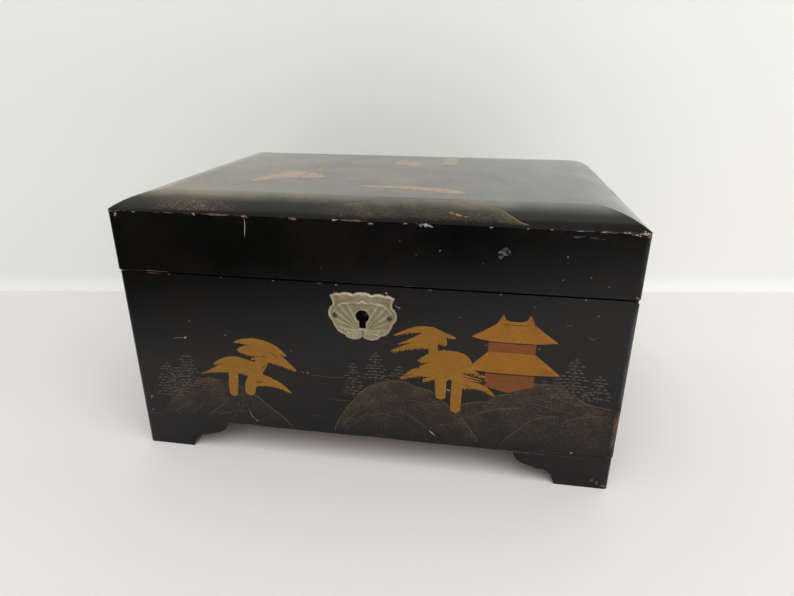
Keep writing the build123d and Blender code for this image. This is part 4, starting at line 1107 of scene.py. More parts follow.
# hills: each crest is a line of (x, z); the wash hangs from it to the foot, powder thickest just under the
# crest
hillSet = {
    # the washes' foot, the first one's height and how much higher each next one lies
    "foot": 18.2, "height": 0.016, "heightStep": 0.008,
    "lineHeight": 0.11, "birdHeight": 0.09,
    "order": ["farRight", "nearRight", "lowRight", "frontRight", "middle", "farLeft", "nearLeft"],
    "farRight": {"crest": [(58.0, 45.5), (64, 47.0), (67.4, 50.0), (75.6, 52.4), (80.6, 55.6), (88.5, 58.4),
                           (94.1, 58.7), (100.6, 56.4), (108.9, 51.0), (115.4, 48.6), (124.5, 47.2)],
                 "powder": 0.50, "depth": 13.0},
    "nearRight": {"crest": [(47.5, 41.5), (50.1, 43.0), (57.0, 45.3), (68.5, 45.6), (80.0, 44.2),
                            (92.0, 41.0), (104.0, 38.2), (109.8, 41.6), (117.2, 43.4), (124.8, 44.5)],
                  "powder": 0.34, "depth": 20.0},
    "lowRight": {"crest": [(50.0, 31.0), (55.2, 36.4), (63.5, 40.6), (69.1, 42.4), (80.2, 43.6), (86.0, 40.0),
                           (96.0, 36.5), (110.0, 35.0), (124.8, 36.0)],
                 "powder": 0.30, "depth": 24.0},
    "frontRight": {"crest": [(66.0, 18.6), (72.8, 23.9), (79.0, 30.4), (85.3, 36.9), (90.4, 39.7),
                             (99.0, 40.6), (112.0, 36.5), (124.8, 31.0)],
                   "powder": 0.26, "depth": 22.0},
    "middle": {"crest": [(-16.9, 18.2), (-15.4, 24.3), (-10.4, 33.3), (-3.5, 43.0), (2.4, 49.4), (9.2, 52.4),
                         (16.1, 53.7), (21.0, 53.4), (27.8, 50.8), (33.7, 49.7), (37.6, 46.8), (44.5, 41.8),
                         (51.0, 35.6), (58.5, 24.5), (62.0, 18.4)], "powder": 0.52, "depth": 20.0},
    "farLeft": {"crest": [(-118.5, 19.0), (-112.0, 27.5), (-105.0, 35.2), (-97.0, 41.4), (-88.0, 45.7),
                          (-78.0, 45.2), (-68.0, 43.0), (-60.0, 38.0)],
                "powder": 0.46, "depth": 17.0, "red": True},
    "nearLeft": {"crest": [(-91.0, 19.0), (-88.6, 22.2), (-80.2, 29.0), (-72.4, 35.6), (-65.8, 37.7),
                           (-59.1, 36.8), (-51.3, 30.2), (-45.2, 25.0), (-39.5, 18.4)],
                 "powder": 0.24, "depth": 14.0},
    # gold contour lines drawn over the washes: points, width
    "lines": [
        ([(-16.8, 18.3), (-15.3, 24.3), (-10.4, 33.2), (-3.5, 42.9), (2.4, 49.2)], 0.55),
        ([(9.2, 52.3), (16.1, 53.7), (21.0, 53.5), (24.0, 52.2), (27.8, 50.8), (33.7, 49.8), (37.6, 46.9)],
         0.45),
        ([(-12.4, 22.8), (-9.5, 27.0), (-5.5, 31.2), (-1.0, 35.0)], 0.30),
        ([(-6.5, 24.2), (-2.0, 29.0), (2.4, 33.0)], 0.30),
        ([(4.0, 31.6), (8.0, 33.2), (13.0, 32.8), (17.0, 31.6)], 0.30),
        ([(17.0, 35.6), (23.0, 34.0), (28.0, 30.8), (33.0, 26.0)], 0.28),
        ([(21.5, 42.8), (27.0, 42.6), (33.0, 41.8), (40.6, 42.0)], 0.28),
        ([(-88.6, 22.2), (-80.2, 28.9), (-76.4, 32.4)], 0.32),
        ([(-72.4, 35.6), (-65.8, 37.6), (-59.1, 36.7), (-51.3, 30.0), (-45.2, 25.0), (-39.7, 18.5)], 0.48),
        ([(-83.2, 22.0), (-78.0, 24.6), (-72.0, 26.0), (-67.0, 26.4)], 0.26),
        ([(-109.0, 21.5), (-103.5, 26.0), (-98.0, 31.0)], 0.26),
        ([(-100.5, 20.8), (-94.0, 26.2), (-89.0, 30.0)], 0.26),
        ([(49.2, 37.6), (54.5, 30.0), (59.8, 22.1)], 0.45),
        ([(50.1, 42.9), (57.0, 45.1), (62.5, 45.6), (68.5, 45.4)], 0.40),
        ([(55.4, 36.5), (63.5, 40.6), (69.1, 42.4), (75.0, 43.2), (80.2, 43.8)], 0.45),
        ([(67.2, 49.9), (71.0, 50.8), (75.6, 52.2), (78.4, 54.2), (80.6, 55.6)], 0.45),
        ([(84.0, 57.6), (88.5, 58.3), (94.1, 58.6)], 0.40),
        ([(105.5, 53.2), (108.9, 50.9), (115.4, 48.5), (123.7, 47.4)], 0.45),
        ([(72.8, 23.9), (79.0, 30.6), (85.3, 37.2)], 0.42),
        ([(86.5, 37.8), (90.4, 39.7), (95.0, 40.6), (99.0, 40.8)], 0.30),
        ([(100.6, 37.4), (105.0, 39.9), (109.8, 41.5), (117.2, 43.2)], 0.40),
        ([(79.5, 54.0), (84.5, 50.8), (90.0, 49.6), (97.0, 48.4)], 0.24),
        ([(92.0, 53.4), (98.0, 51.0), (104.0, 49.4), (110.0, 47.4)], 0.24),
        ([(84.0, 47.5), (92.0, 46.0), (100.0, 44.2), (107.0, 44.0)], 0.24),
        ([(-28.5, 53.1), (-22.0, 52.6), (-15.0, 52.5), (-9.5, 52.9)], 0.30),
        ([(-21.0, 39.8), (-17.0, 39.2), (-12.0, 39.1), (-7.5, 39.6)], 0.30),
        ([(-29.5, 28.4), (-26.0, 28.0), (-22.0, 28.2)], 0.22),
    ],
    "birds": [((96.6, 91.4), (98.2, 90.6), (100.0, 91.0)), ((107.3, 86.2), (109.6, 84.2), (111.0, 85.6)),
              ((46.2, 90.6), (47.3, 91.2), (48.6, 91.2))],
}


def hillPlan(crest, foot, count=150, columns=26):
    # from the crest straight down to the foot, closer rows near the crest
    line = smoothLine(crest, count)
    t = np.linspace(0, 1, count)
    line[:, 1] = line[:, 1] + 0.25 * waves(t, 3, 6, 6, 30)
    base = np.stack([line[:, 0], np.minimum(line[:, 1] - 0.05, foot)], -1)
    return bridge(base, line, 1 - np.linspace(1, 0, columns) ** 1.6)


def hillPowder(plan, values, seed):
    # thickest at the crest, falling off with depth under it, in clouds, and nothing at the foot
    crestZ = plan[:, -1:, 1]
    deep = crestZ - plan[..., 1]
    x, z = plan[..., 0], plan[..., 1]
    cloud = 0.6 + 0.4 * waves(x / 90 + z / 160, seed, 5, 1, 6)
    cloud = cloud + 0.3 * waves(z / 40 - x / 120, seed + 1, 5, 1, 6)
    # stipple strokes that slope down to the right
    streak = 0.75 + 0.5 * waves((x + 1.3 * z) / 60, seed + 2, 7, 6, 30)
    t = np.linspace(0, 1, len(plan))[:, None]
    ends = np.clip(np.minimum(t, 1 - t) * 9, 0, 1)
    footFade = np.clip((z - 18.4) / 9, 0.06, 1)
    fading = np.exp(-deep / values["depth"]) * cloud * streak * footFade * (0.4 + 0.6 * ends)
    return 1.35 * values["powder"] * fading


def makeHills(values):
    # the washes from the farthest to the nearest, each a little higher, then contour lines and three birds
    for level, name in enumerate(values["order"]):
        hill = values[name]
        plan = hillPlan(hill["crest"], values["foot"])
        lift = rimmed(plan, values["height"] + values["heightStep"] * level)
        material = redHillLacquer if hill.get("red") else hillLacquer
        layFilm(name + "Hill", plan, lift, onFront, hillPowder(plan, hill, seed=40 + level), material, "case")
    parts = []
    for number, (points, width) in enumerate(values["lines"]):
        line = smoothLine(points, 30)[None]
        t = np.linspace(0, 1, 30)
        line = line + 0.10 * waves(t, 60 + number, 4, 3, 9)[None, :, None]
        wide = 0.8 * taper(30, width, 0.12) * (1 + 0.25 * waves(t, 90 + number, 4, 2, 8))
        parts.append(strokeParts(line, wide, onFront, values["lineHeight"]))
    for bird in values["birds"]:
        line = smoothLine(bird, 11)[None]
        parts.append(strokeParts(line, taper(11, 0.35, 0.3), onFront, values["birdHeight"]))
    paint("contourLines", parts, linePaint)


firSet = {
    "step": 1.75, "dashGap": 2.9, "dashWidth": 0.95, "dashSag": 1.32,
    "height": 0.10, "trunkHeight": 0.09,
    # top, foot, width at the foot
    "trees": [((-97.4, 59.5), 38.5, 17.0), ((-109.7, 52.5), 31.5, 15.0), ((-104.0, 50.0), 33.0, 12.0),
              ((-5.6, 61.6), 41.5, 10.5), ((6.3, 68.6), 51.5, 12.5), ((18.2, 61.6), 53.0, 9.0),
              ((-9.0, 51.0), 42.0, 6.0), ((103.6, 73.4), 50.5, 18.0), ((115.8, 65.4), 51.0, 12.5),
              ((96.5, 62.0), 54.0, 8.0), ((90.0, 60.5), 56.5, 9.0)],
}


def firDashes(values):
    # every tree is rows of short arched dashes, wider row by row, each row set half a gap off the last
    rng = np.random.default_rng(7)
    middles, lengths = [], []
    for (topX, topZ), foot, width in values["trees"]:
        rows = np.arange(0, max(2, int((topZ - foot) / values["step"])))
        z = topZ - rows * values["step"]
        half = 0.5 * width * (0.12 + 0.88 * rows / rows[-1])
        slots = np.arange(-6, 7)[None, :]
        x = (slots + 0.5 * (rows % 2)[:, None]) * values["dashGap"]
        keep = np.abs(x) <= half[:, None] + 0.9
        keep &= rng.random(keep.shape) > 0.06
        x = x + rng.normal(0, 0.28, x.shape) + topX
        zz = z[:, None] - 0.035 * np.abs(x - topX) ** 1.3 + rng.normal(0, 0.16, x.shape)
        middles.append(np.stack([x[keep], zz[keep]], -1))
        lengths.append(rng.uniform(1.8, 3.0, keep.sum()))
    return np.concatenate(middles), np.concatenate(lengths)


def makeFirs(values):
    # each dash is a line of five points that sags at both ends; a thin trunk stands behind them
    middles, lengths = firDashes(values)
    u = np.linspace(-0.5, 0.5, 5)[None, :]
    x = middles[:, :1] + lengths[:, None] * u
    z = middles[:, 1:] - values["dashSag"] * u ** 2
    lines = np.stack([x, z], -1)
    parts = [strokeParts(lines, taper(5, values["dashWidth"], 0.4), onFront, values["height"])]
    t = np.linspace(0, 1, 9)
    trunks = np.array([[topX + 0.25 * waves(t, int(topX) + 200, 3, 1, 3), topZ + (foot - topZ) * t]
                       for (topX, topZ), foot, width in values["trees"]]).transpose(0, 2, 1)
    parts.append(strokeParts(trunks, np.linspace(0.2, 0.4, 9), onFront, values["trunkHeight"]))
    paint("firTrees", parts, firPaint)


lidArtSet = {
    # heights: of the powdered films and how far their undersides are sunk, of the crest line, sparks and dark
    # chips
    "height": 0.035, "sunk": 0.03, "lineHeight": 0.13, "sparkHeight": 0.12, "chipHeight": 0.10,
    "shapes": [
        # orange roofs and bands on the crown: top line, bottom line as seen from above, x then y
        ([(-77.0, -37.0), (-70.5, -26.0), (-64.5, -12.0), (-56.0, -4.0), (-48.0, -7.0), (-40.5, -13.0),
          (-35.0, -21.0)],
         [(-76.0, -41.0), (-68.0, -42.0), (-61.5, -34.5), (-54.0, -29.5), (-48.0, -30.0), (-40.5, -28.0),
          (-35.0, -23.0)]),
        ([(-11.0, -43.5), (0.0, -41.6), (14.0, -41.2), (28.0, -42.8), (38.0, -46.5), (46.5, -51.5)],
         [(-10.0, -49.5), (0.0, -49.0), (14.0, -50.0), (28.0, -53.5), (36.0, -57.5), (45.5, -58.0)]),
        ([(-6.0, 42.0), (-1.0, 45.0), (5.0, 43.0), (10.0, 44.0), (12.5, 40.0)],
         [(-5.0, 32.0), (-1.0, 30.0), (5.0, 27.0), (9.0, 24.0), (12.0, 26.0)]),
        ([(26.0, 68.0), (29.0, 72.0), (33.0, 71.0), (36.5, 66.0)],
         [(26.5, 36.0), (29.0, 33.0), (33.0, 32.0), (36.0, 34.0)]),
        ([(-52.0, 22.0), (-50.0, 23.0), (-48.5, 20.0)], [(-47.0, -2.0), (-44.0, -6.0), (-42.0, -4.0)]),
    ],
    # how thick the powder lies on each of those shapes
    "shares": [1.0, 1.0, 1.0, 1.0, 0.45],
    # crest as x, y seen from above, the foot's y, powder and the depth that it fades over
    "hills": [
        {"name": "crownLeftHill", "material": crownRustLacquer,
         "crest": [(-108.0, -82.0), (-100.0, -79.6), (-92.0, -78.0), (-84.0, -77.6), (-76.0, -78.4),
                   (-68.0, -80.0), (-61.0, -83.0)],
         "foot": -89.4, "powder": 1.0, "depth": 60.0},
        {"name": "crownRightHill", "material": crownHillLacquer,
         "crest": [(-26.0, -86.0), (-14.0, -81.5), (-3.0, -79.0), (6.3, -77.6), (15.9, -74.8), (29.9, -71.8),
                   (40.5, -73.1), (50.1, -76.6), (57.5, -78.4), (63.0, -80.5), (68.4, -85.1), (71.9, -87.7),
                   (76.0, -89.3)],
         "foot": -89.7, "powder": 0.62, "depth": 9.0},
    ],
    "crestLine": ([(44.0, -74.2), (50.1, -76.6), (57.5, -78.4), (63.0, -80.5), (68.4, -85.1), (71.9, -87.7),
                   (76.0, -89.3)], 0.7),
    # rubbed bright places: x, y, half width, half depth
    "sparks": [(41.5, -84.4, 1.6, 0.5), (44.8, -85.6, 2.0, 0.8), (48.0, -86.0, 1.2, 0.5),
               (-79.0, -86.4, 0.9, 0.5)],
    "darkChips": [(127.2, -6.9, 0.7, 1.8), (126.4, -5.0, 0.5, 0.8)],
}


def makeLidArt(values):
    # soft orange shapes, two powdered hills, one crest line and a few chips; films carry how much powder lies
    # on them
    films = []
    for number, (top, bottom) in enumerate(values["shapes"]):
        plan = between(top, bottom, 90, 21, smoothLine)
        x = plan[..., 0]
        sideways, endways = waves(x / 20, 70 + number, 6, 3, 14), waves(x / 16, 75 + number, 6, 3, 14)
        plan = plan + 0.9 * np.stack([sideways, endways], -1)
        u, v = np.linspace(0, 1, 90)[:, None], np.linspace(0, 1, 21)[None, :]
        rim = np.clip(np.minimum(u, 1 - u) * 12, 0, 1) * np.clip(np.minimum(v, 1 - v) * 6, 0, 1)
        x, y = plan[..., 0], plan[..., 1]
        cloud = values["shares"][number] * (0.85 + 0.45 * waves(x / 22 + y / 30, 91 + number, 6, 1, 6))
        films.append(("crownOrange%d" % (number + 1), plan, 0.9 * rim * cloud, crownOrangeLacquer))
    for number, hill in enumerate(values["hills"]):
        line = smoothLine(hill["crest"], 110)
        base = np.stack([line[:, 0], np.minimum(line[:, 1] - 0.05, hill["foot"])], -1)
        plan = bridge(base, line, np.linspace(0, 1, 40))
        x, y = plan[..., 0], plan[..., 1]
        deep = plan[:, -1:, 1] - y
        cloud = 0.7 + 0.5 * waves(x / 80 + y / 90, 81 + number, 5, 1, 6)
        cloud = cloud + 0.25 * waves(x / 14 - y / 9, 87 + number, 6, 1, 5)
        t = np.linspace(0, 1, 110)[:, None]
        # the left hill fades at both ends and at its crest, the right one at its left end only
        ends = np.clip((t if number else np.minimum(t, 1 - t)) * 4, 0, 1)
        ends = ends * np.clip((y - hill["foot"]) / 1.5, 0, 1)
        if number == 0:
            ends = ends * np.clip(deep / 4, 0, 1)
        powder = hill["powder"] * np.exp(-deep / hill["depth"]) * cloud * ends
        films.append((hill["name"], plan, powder, hill["material"]))
    for name, plan, powder, material in films:
        lift = np.full(plan.shape[:2], values["height"])
        layFilm(name, plan, lift, onCrown, powder, material, "lid", under=values["sunk"])
    points, width = values["crestLine"]
    line = smoothLine(points, 60)[None] + 0.12 * waves(np.linspace(0, 1, 60), 64, 5, 3, 12)[None, :, None]
    drawLines("crownCrestLine", line, taper(60, width, 0.15), onCrown, values["lineHeight"], crestPaint,
              "lid")
    scatterChips("crownSparks", values["sparks"], onCrown, values["sparkHeight"], sparkPaint, "lid", 500)
    scatterChips("crownDarkChips", values["darkChips"], onCrown, values["chipHeight"], darkLine, "lid", 520)


wearSet = {
    # heights of the worn line and the lid's scratch, the seams and the case's scratches
    "lineHeight": 0.05, "seamHeight": 0.04, "scratchHeight": 0.13,
    # worn places: surface, height, material, seed, then each one's x, z, half width and half height
    "chips": {
        "arrisBrownWear": (onLidFront, 0.07, groundCoat, 330,
                           [(-126.0, 136.0, 1.4, 0.4), (-122.6, 136.1, 2.4, 0.3), (-56.4, 136.0, 2.0, 0.55),
                            (-33.2, 136.0, 2.6, 0.45), (101.5, 136.1, 2.6, 0.25), (109.8, 136.1, 3.0, 0.3),
                            (117.5, 136.1, 4.2, 0.35), (125.0, 135.6, 2.0, 0.8), (-96.0, 136.2, 3.2, 0.2)]),
        "arrisChips": (onLidFront, 0.10, chipGesso, 300,
                       [(-113.7, 135.9, 1.2, 0.2), (-82.4, 136.3, 0.5, 0.4), (-81.9, 135.9, 0.4, 0.5),
                        (-12.5, 136.0, 1.2, 0.35), (30.3, 135.8, 1.9, 0.8), (31.6, 135.5, 1.2, 0.5),
                        (21.2, 136.0, 0.8, 0.25), (59.8, 136.0, 0.7, 0.35), (75.5, 136.0, 0.5, 0.25),
                        (86.0, 136.1, 0.6, 0.2), (98.0, 136.1, 1.6, 0.2), (107.4, 136.0, 1.2, 0.25),
                        (116.5, 136.1, 1.6, 0.3), (121.3, 135.4, 1.4, 0.5), (125.6, 135.9, 1.8, 0.9),
                        (-57.2, 136.0, 1.0, 0.35)]),
        "arrisGreyWear": (onLidFront, 0.06, greyChip, 310,
                          [(-123.4, 134.5, 0.9, 1.3), (5.0, 135.2, 1.5, 0.8), (28.6, 135.9, 1.2, 0.5)]),
        "lidPaleSpots": (onLidFront, 0.06, chipGesso, 360,
                         [(37.0, 124.0, 0.42, 0.4), (94.0, 124.0, 0.38, 0.35), (26.0, 121.0, 0.2, 0.2),
                          (57.0, 119.0, 0.22, 0.2), (93.0, 113.0, 0.25, 0.25), (105.0, 115.0, 0.28, 0.25),
                          (113.0, 111.0, 0.25, 0.25), (-20.0, 112.0, 0.18, 0.18), (126.0, 106.4, 0.6, 0.4)]),
        "lidRubMarks": (onLidFront, 0.03, markPaint, 380,
                        [(65.0, 124.6, 3.2, 1.6), (66.5, 126.0, 2.2, 0.7), (64.4, 122.6, 1.8, 0.9),
                         (68.4, 125.0, 1.0, 1.2), (97.0, 133.4, 2.6, 0.5), (104.0, 133.2, 3.4, 0.5)]),
        "casePaleSpots": (onFront, 0.17, chipGesso, 400,
                          [(-92.7, 78.7, 0.35, 0.3), (-96.0, 69.1, 0.7, 0.5), (-32.2, 53.9, 0.3, 0.25),
                           (110.7, 96.3, 0.3, 0.3), (107.0, 20.2, 0.75, 0.5), (12.0, 101.2, 0.5, 0.4),
                           (-12.8, 104.0, 0.4, 0.25), (43.2, 51.0, 0.9, 0.4), (-69.7, 47.8, 0.45, 0.8),
                           (-60.5, 21.4, 0.7, 0.45), (82.0, 99.0, 0.2, 0.2), (-7.0, 86.6, 0.25, 0.25),
                           (-45.0, 104.2, 0.5, 0.15), (-72.0, 104.3, 0.4, 0.15), (-100.0, 104.3, 0.6, 0.15),
                           (33.0, 104.1, 0.5, 0.15), (66.0, 104.2, 0.4, 0.15), (104.0, 104.0, 0.5, 0.2)]),
        "caseGreySpots": (onFront, 0.06, greyChip, 430,
                          [(-122.0, 30.0, 0.5, 0.8), (-122.4, 22.0, 0.5, 0.5), (18.0, 94.2, 1.0, 0.4),
                           (-21.5, 104.3, 1.3, 0.2), (-73.6, 72.0, 0.45, 0.45), (-38.0, 66.0, 0.4, 0.4),
                           (-30.0, 54.0, 0.5, 0.4)]),
        "footChips": (onFront, 0.06, groundCoat, 460,
                      [(119.0, 4.6, 0.9, 0.8), (121.6, 3.6, 0.9, 0.9), (124.6, 2.0, 1.6, 0.7)]),
        "caseEdgeWear": (onFront, 0.083, brownEdge, 480,
                         [(126.7, 43.0, 0.4, 1.6), (126.6, 38.0, 0.5, 2.4), (126.8, 32.0, 0.4, 2.6),
                          (126.5, 26.5, 0.6, 2.2), (126.7, 21.0, 0.5, 2.0)]),
        "lidEdgeWear": (onLidFront, 0.083, brownEdge, 485,
                        [(127.2, 132.0, 0.2, 1.6), (127.2, 126.5, 0.15, 1.0), (127.2, 119.5, 0.2, 1.4),
                         (127.2, 112.0, 0.15, 1.2), (127.1, 107.5, 0.2, 1.0)]),
    },
    # the case's right corner, a painted highlight of its rounded edge above and bare wood below:
    # inner x, outer x, low z, high z, then the power, height and finish
    "corners": [("cornerPaintedHighlight", (124.4, 127.35, 46.0, 103.8), 3.0, 0.061, cornerHighlightLacquer),
                ("cornerBareWear", (124.0, 127.3, 20.2, 49.0), 1.6, 0.069, bareCornerLacquer)],
    # a thin line of brown where the black has gone from the arris: its stretches and how much of each is worn
    "arrisLine": [(-125.0, -110.0, 0.5), (-110.0, -60.0, 0.65), (-60.0, -10.0, 0.25), (-10.0, 90.0, 0.2),
                  (90.0, 127.0, 0.7)],
    "arrisZ": 136.15,
    "seamZ": 19.6,
    "seams": [(-126.6, -77.0), (78.0, 126.6)],
    # scratches, a pale one down the lid and fine ones on the case: points, width
    "lidScratch": ([(-56.6, 135.2), (-56.4, 132.0), (-56.8, 129.0), (-57.0, 126.2)], 0.42),
    "caseScratches": [([(-102.6, 68.2), (-100.0, 68.6), (-96.5, 69.0)], 0.22),
                      ([(-64.0, 27.4), (-63.4, 24.4), (-61.2, 21.8)], 0.34),
                      ([(34.2, 25.6), (35.8, 24.4), (37.6, 22.6)], 0.8),
                      ([(16.0, 95.2), (17.6, 94.4), (18.6, 93.6)], 0.30)],
}


def makeCornerHighlightAndWear(values):
    # two strips down the right corner, a painted highlight of its rounded edge above and bare wood below;
    # powder grows with a power of the way out
    for name, (innerX, outerX, lowZ, highZ), power, height, material in values["corners"]:
        x, z = np.linspace(innerX, outerX, 9)[:, None], np.linspace(lowZ, highZ, 120)[None, :]
        plan = np.stack(np.broadcast_arrays(x, z), -1)
        uneven = 0.8 + 0.3 * waves(z / 40, 411, 6, 1, 5) + 0.1 * waves(z / 30 + x / 6, 413, 6, 4, 16)
        ends = np.clip(np.minimum(z - lowZ, highZ - z) / 8, 0, 1)
        powder = ((x - innerX) / (outerX - innerX)) ** power * uneven * ends
        layFilm(name, plan, np.full(plan.shape[:2], height), onFront, powder, material, "case")


def brokenUp(spots, seed):
    # each spot becomes a main patch and three small ones about it
    spots = np.asarray(spots, float)
    rng = np.random.default_rng(seed)
    offset = rng.uniform(-1.25, 1.25, (len(spots), 4, 2))
    offset[:, 0] = 0.0
    size = rng.uniform(0.22, 0.5, (len(spots), 4, 1))
    size[:, 0] = 0.7
    place_ = spots[:, None, :2] + offset * spots[:, None, 2:]
    return np.concatenate([place_, size * spots[:, None, 2:]], -1).reshape(-1, 4)


def wornLine(stretches, z, seed):
    # short strokes laid end to end with gaps between, a share of each stretch worn
    rng = np.random.default_rng(seed)
    lines, widths = [], []
    for start, end, share in stretches:
        count = int((end - start) / 3.0)
        at = start + (np.arange(count) + rng.uniform(0.1, 0.9, count)) / count * (end - start)
        at = at[rng.random(count) < share]
        long = rng.uniform(0.6, 3.4, len(at))
        u = np.linspace(-0.5, 0.5, 7)[None]
        lines.append(np.stack([at[:, None] + long[:, None] * u, z + rng.normal(0, 0.05, (len(at), 7))], -1))
        widths.append(taper(7, 1.0, 0.35)[None] * rng.uniform(0.08, 0.20, (len(at), 1)))
    return np.concatenate(lines), np.concatenate(widths)


def chipPlan(x, z, halfWidth, halfHeight, seed, count=14, rings=4):
    # a ragged round patch: rings of points whose reach goes up and down with the angle
    turn = np.linspace(0, 2 * math.pi, count, endpoint=False)
    reach = 1 + 0.30 * waves(turn / (2 * math.pi), seed, 4, 1, 4)
    reach = reach + 0.12 * np.random.default_rng(seed).normal(0, 1, count)
    ring = np.linspace(0, 1, rings)[None, :]
    px = x + halfWidth * np.cos(turn)[:, None] * reach[:, None] * ring
    pz = z + halfHeight * np.sin(turn)[:, None] * reach[:, None] * ring
    return np.stack([px, pz], -1)


def chipPart(plan, onto, height):
    # the patch as a low dome: one point in the middle, rings about it, and its rim tucked under the surface
    count, rings = plan.shape[:2]
    lift = np.array([height] * (rings - 1) + [-0.05])
    middle = onto(plan[:1, 0], np.array([height]))
    outer = onto(plan[:, 1:], np.broadcast_to(lift[1:], (count, rings - 1))).reshape(-1, 3)
    under = onto(plan[:1, 0], np.array([-0.05]))
    points = np.concatenate([middle, outer, under])
    around = np.arange(count)
    ahead = (around + 1) % count
    wide = rings - 1
    fan = np.stack([np.zeros(count, int), 1 + around * wide, 1 + ahead * wide], -1)
    last = np.full(count, len(points) - 1)
    below = np.stack([last, 1 + ahead * wide + wide - 1, 1 + around * wide + wide - 1], -1)
    k = np.arange(wide - 1)[None, :]
    a = 1 + around[:, None] * wide + k
    b = 1 + ahead[:, None] * wide + k
    bands = np.stack([a, a + 1, b + 1, b], -1).reshape(-1, 4)
    return points, np.concatenate([fan, below]), bands


def scatterChips(name, spots, onto, height, material, body, seed):
    # one piece from a list of ragged patches
    points, triangles, quads, first = [], [], [], 0
    for number, (x, z, halfWidth, halfHeight) in enumerate(brokenUp(spots, seed)):
        p, t, q = chipPart(chipPlan(x, z, halfWidth, halfHeight, seed + number), onto, height)
        points.append(p)
        triangles.append(t + first)
        quads.append(q + first)
        first += len(p)
    faces = [np.concatenate(triangles), np.concatenate(quads)]
    settle(putMesh(name, np.concatenate(points), faces), material, body)


def makeWear(values):
    # chips and rubbed places, the two corner strips, the worn arris, seams and scratches
    for name, (onto, height, material, seed, spots) in values["chips"].items():
        scatterChips(name, spots, onto, height, material, "lid" if onto is onLidFront else "case", seed)
    makeCornerHighlightAndWear(values)
    lines, widths = wornLine(values["arrisLine"], values["arrisZ"], 12)
    drawLines("arrisWornLine", lines, widths, onLidFront, values["lineHeight"], groundCoat, "lid")
    # the seam painted over between the case and its feet
    z = values["seamZ"] + 0.08 * waves(np.linspace(0, 1, 60), 21, 6, 2, 12)
    seams = np.stack([np.stack([np.linspace(a, b, 60), z], -1) for a, b in values["seams"]])
    drawLines("footSeams", seams, taper(60, 0.34, 0.05), onFront, values["seamHeight"], markPaint)
    scratch, width = values["lidScratch"]
    drawLines("lidScratch", smoothLine(scratch, 15)[None], taper(15, width, 0.4), onLidFront,
              values["lineHeight"], chipGesso, "lid")
    lines = np.stack([smoothLine(points, 12) for points, width in values["caseScratches"]])
    widths = np.array([width for points, width in values["caseScratches"]])
    drawLines("caseScratches", lines, taper(12, 1.0, 0.4) * widths[:, None], onFront, values["scratchHeight"],
              greyChip)


escutcheonSet = {
    "centerZ": 88.4,
    "width": 34.4,
    "height": 25.4,
    # outline of the right half from the top middle: each arc's middle and end, in halves of width and height
    "start": (0.0, 0.985),
    "arcs": [((0.165, 0.975), (0.271, 0.90)), ((0.470, 0.968), (0.663, 0.905)),
             ((0.775, 0.918), (0.868, 0.845)), ((0.920, 0.835), (0.935, 0.765)),
             ((0.872, 0.575), (0.865, 0.42)), ((1.0, 0.03), (0.89, -0.25)), ((0.86, -0.4), (0.79, -0.56)),
             ((0.71, -0.72), (0.58, -0.795)), ((0.52, -0.84), (0.488, -0.905)),
             ((0.28, -1.0), (0.0, -0.875))],
    "plate": 0.95,
    "keyRadius": 3.35,
    "slotWidth": 3.4,
    "slotFoot": 82.0,
    # the shell: the angles of its rays off upright, the height that they fan out from, and the arch over them
    "rays": [28, 41, 54, 67, 81, 99],
    "rayFoot": 80.2,
    "arch": [(-14.6, 90.6), (-13.0, 92.6), (-10.2, 94.6), (-5.0, 95.3), (-1.4, 95.4), (0.0, 96.3),
             (1.4, 95.4), (5.0, 95.4), (10.2, 94.7), (13.0, 92.6), (14.7, 90.6)],
    "scroll": (8.6, 80.0),
    "center": (0.0, 86.9),
}


def arcThrough(a, m, b, count):
    # points of the circle through three points, from the first to the last
    ax, az, bx, bz, mx, mz = *a, *b, *m
    d = 2 * (ax * (mz - bz) + mx * (bz - az) + bx * (az - mz))
    aa, mm, bb = ax ** 2 + az ** 2, mx ** 2 + mz ** 2, bx ** 2 + bz ** 2
    ux = (aa * (mz - bz) + mm * (bz - az) + bb * (az - mz)) / d
    uz = (aa * (bx - mx) + mm * (ax - bx) + bb * (mx - ax)) / d
    radius = math.hypot(ax - ux, az - uz)
    start = math.atan2(az - uz, ax - ux)
    middle = (math.atan2(mz - uz, mx - ux) - start) % (2 * math.pi)
    end = (math.atan2(bz - uz, bx - ux) - start) % (2 * math.pi)
    if middle > end:
        end -= 2 * math.pi
    turn = start + np.linspace(0, end, count)
    return np.stack([ux + radius * np.cos(turn), uz + radius * np.sin(turn)], -1)


def escutcheonEdge(values):
    # the whole outline, clockwise from the top middle, arc by arc and then mirrored
    half = np.array([values["width"] / 2, values["height"] / 2])
    start = np.array(values["start"]) * half
    runs = []
    for middle, end in values["arcs"]:
        runs.append(arcThrough(start, np.array(middle) * half, np.array(end) * half, 14)[:-1])
        start = np.array(end) * half
    right = np.concatenate(runs + [[start]])
    left = right[::-1][1:-1] * np.array([-1, 1])
    return np.concatenate([right, left]) + np.array([0, values["centerZ"]])


def reachAtAngles(outline, center, turns):
    # how far the outline lies from the centre along each angle
    away = outline - center
    angle = np.arctan2(away[:, 0], away[:, 1]) % (2 * math.pi)
    order = np.argsort(angle)
    return np.interp(turns, angle[order], np.hypot(*away.T)[order], period=2 * math.pi)


def nearLine(plan, line):
    # least distance from each plan point to the points of a line
    gap = plan[..., None, :] - line
    return np.sqrt((gap ** 2).sum(-1)).min(-1)


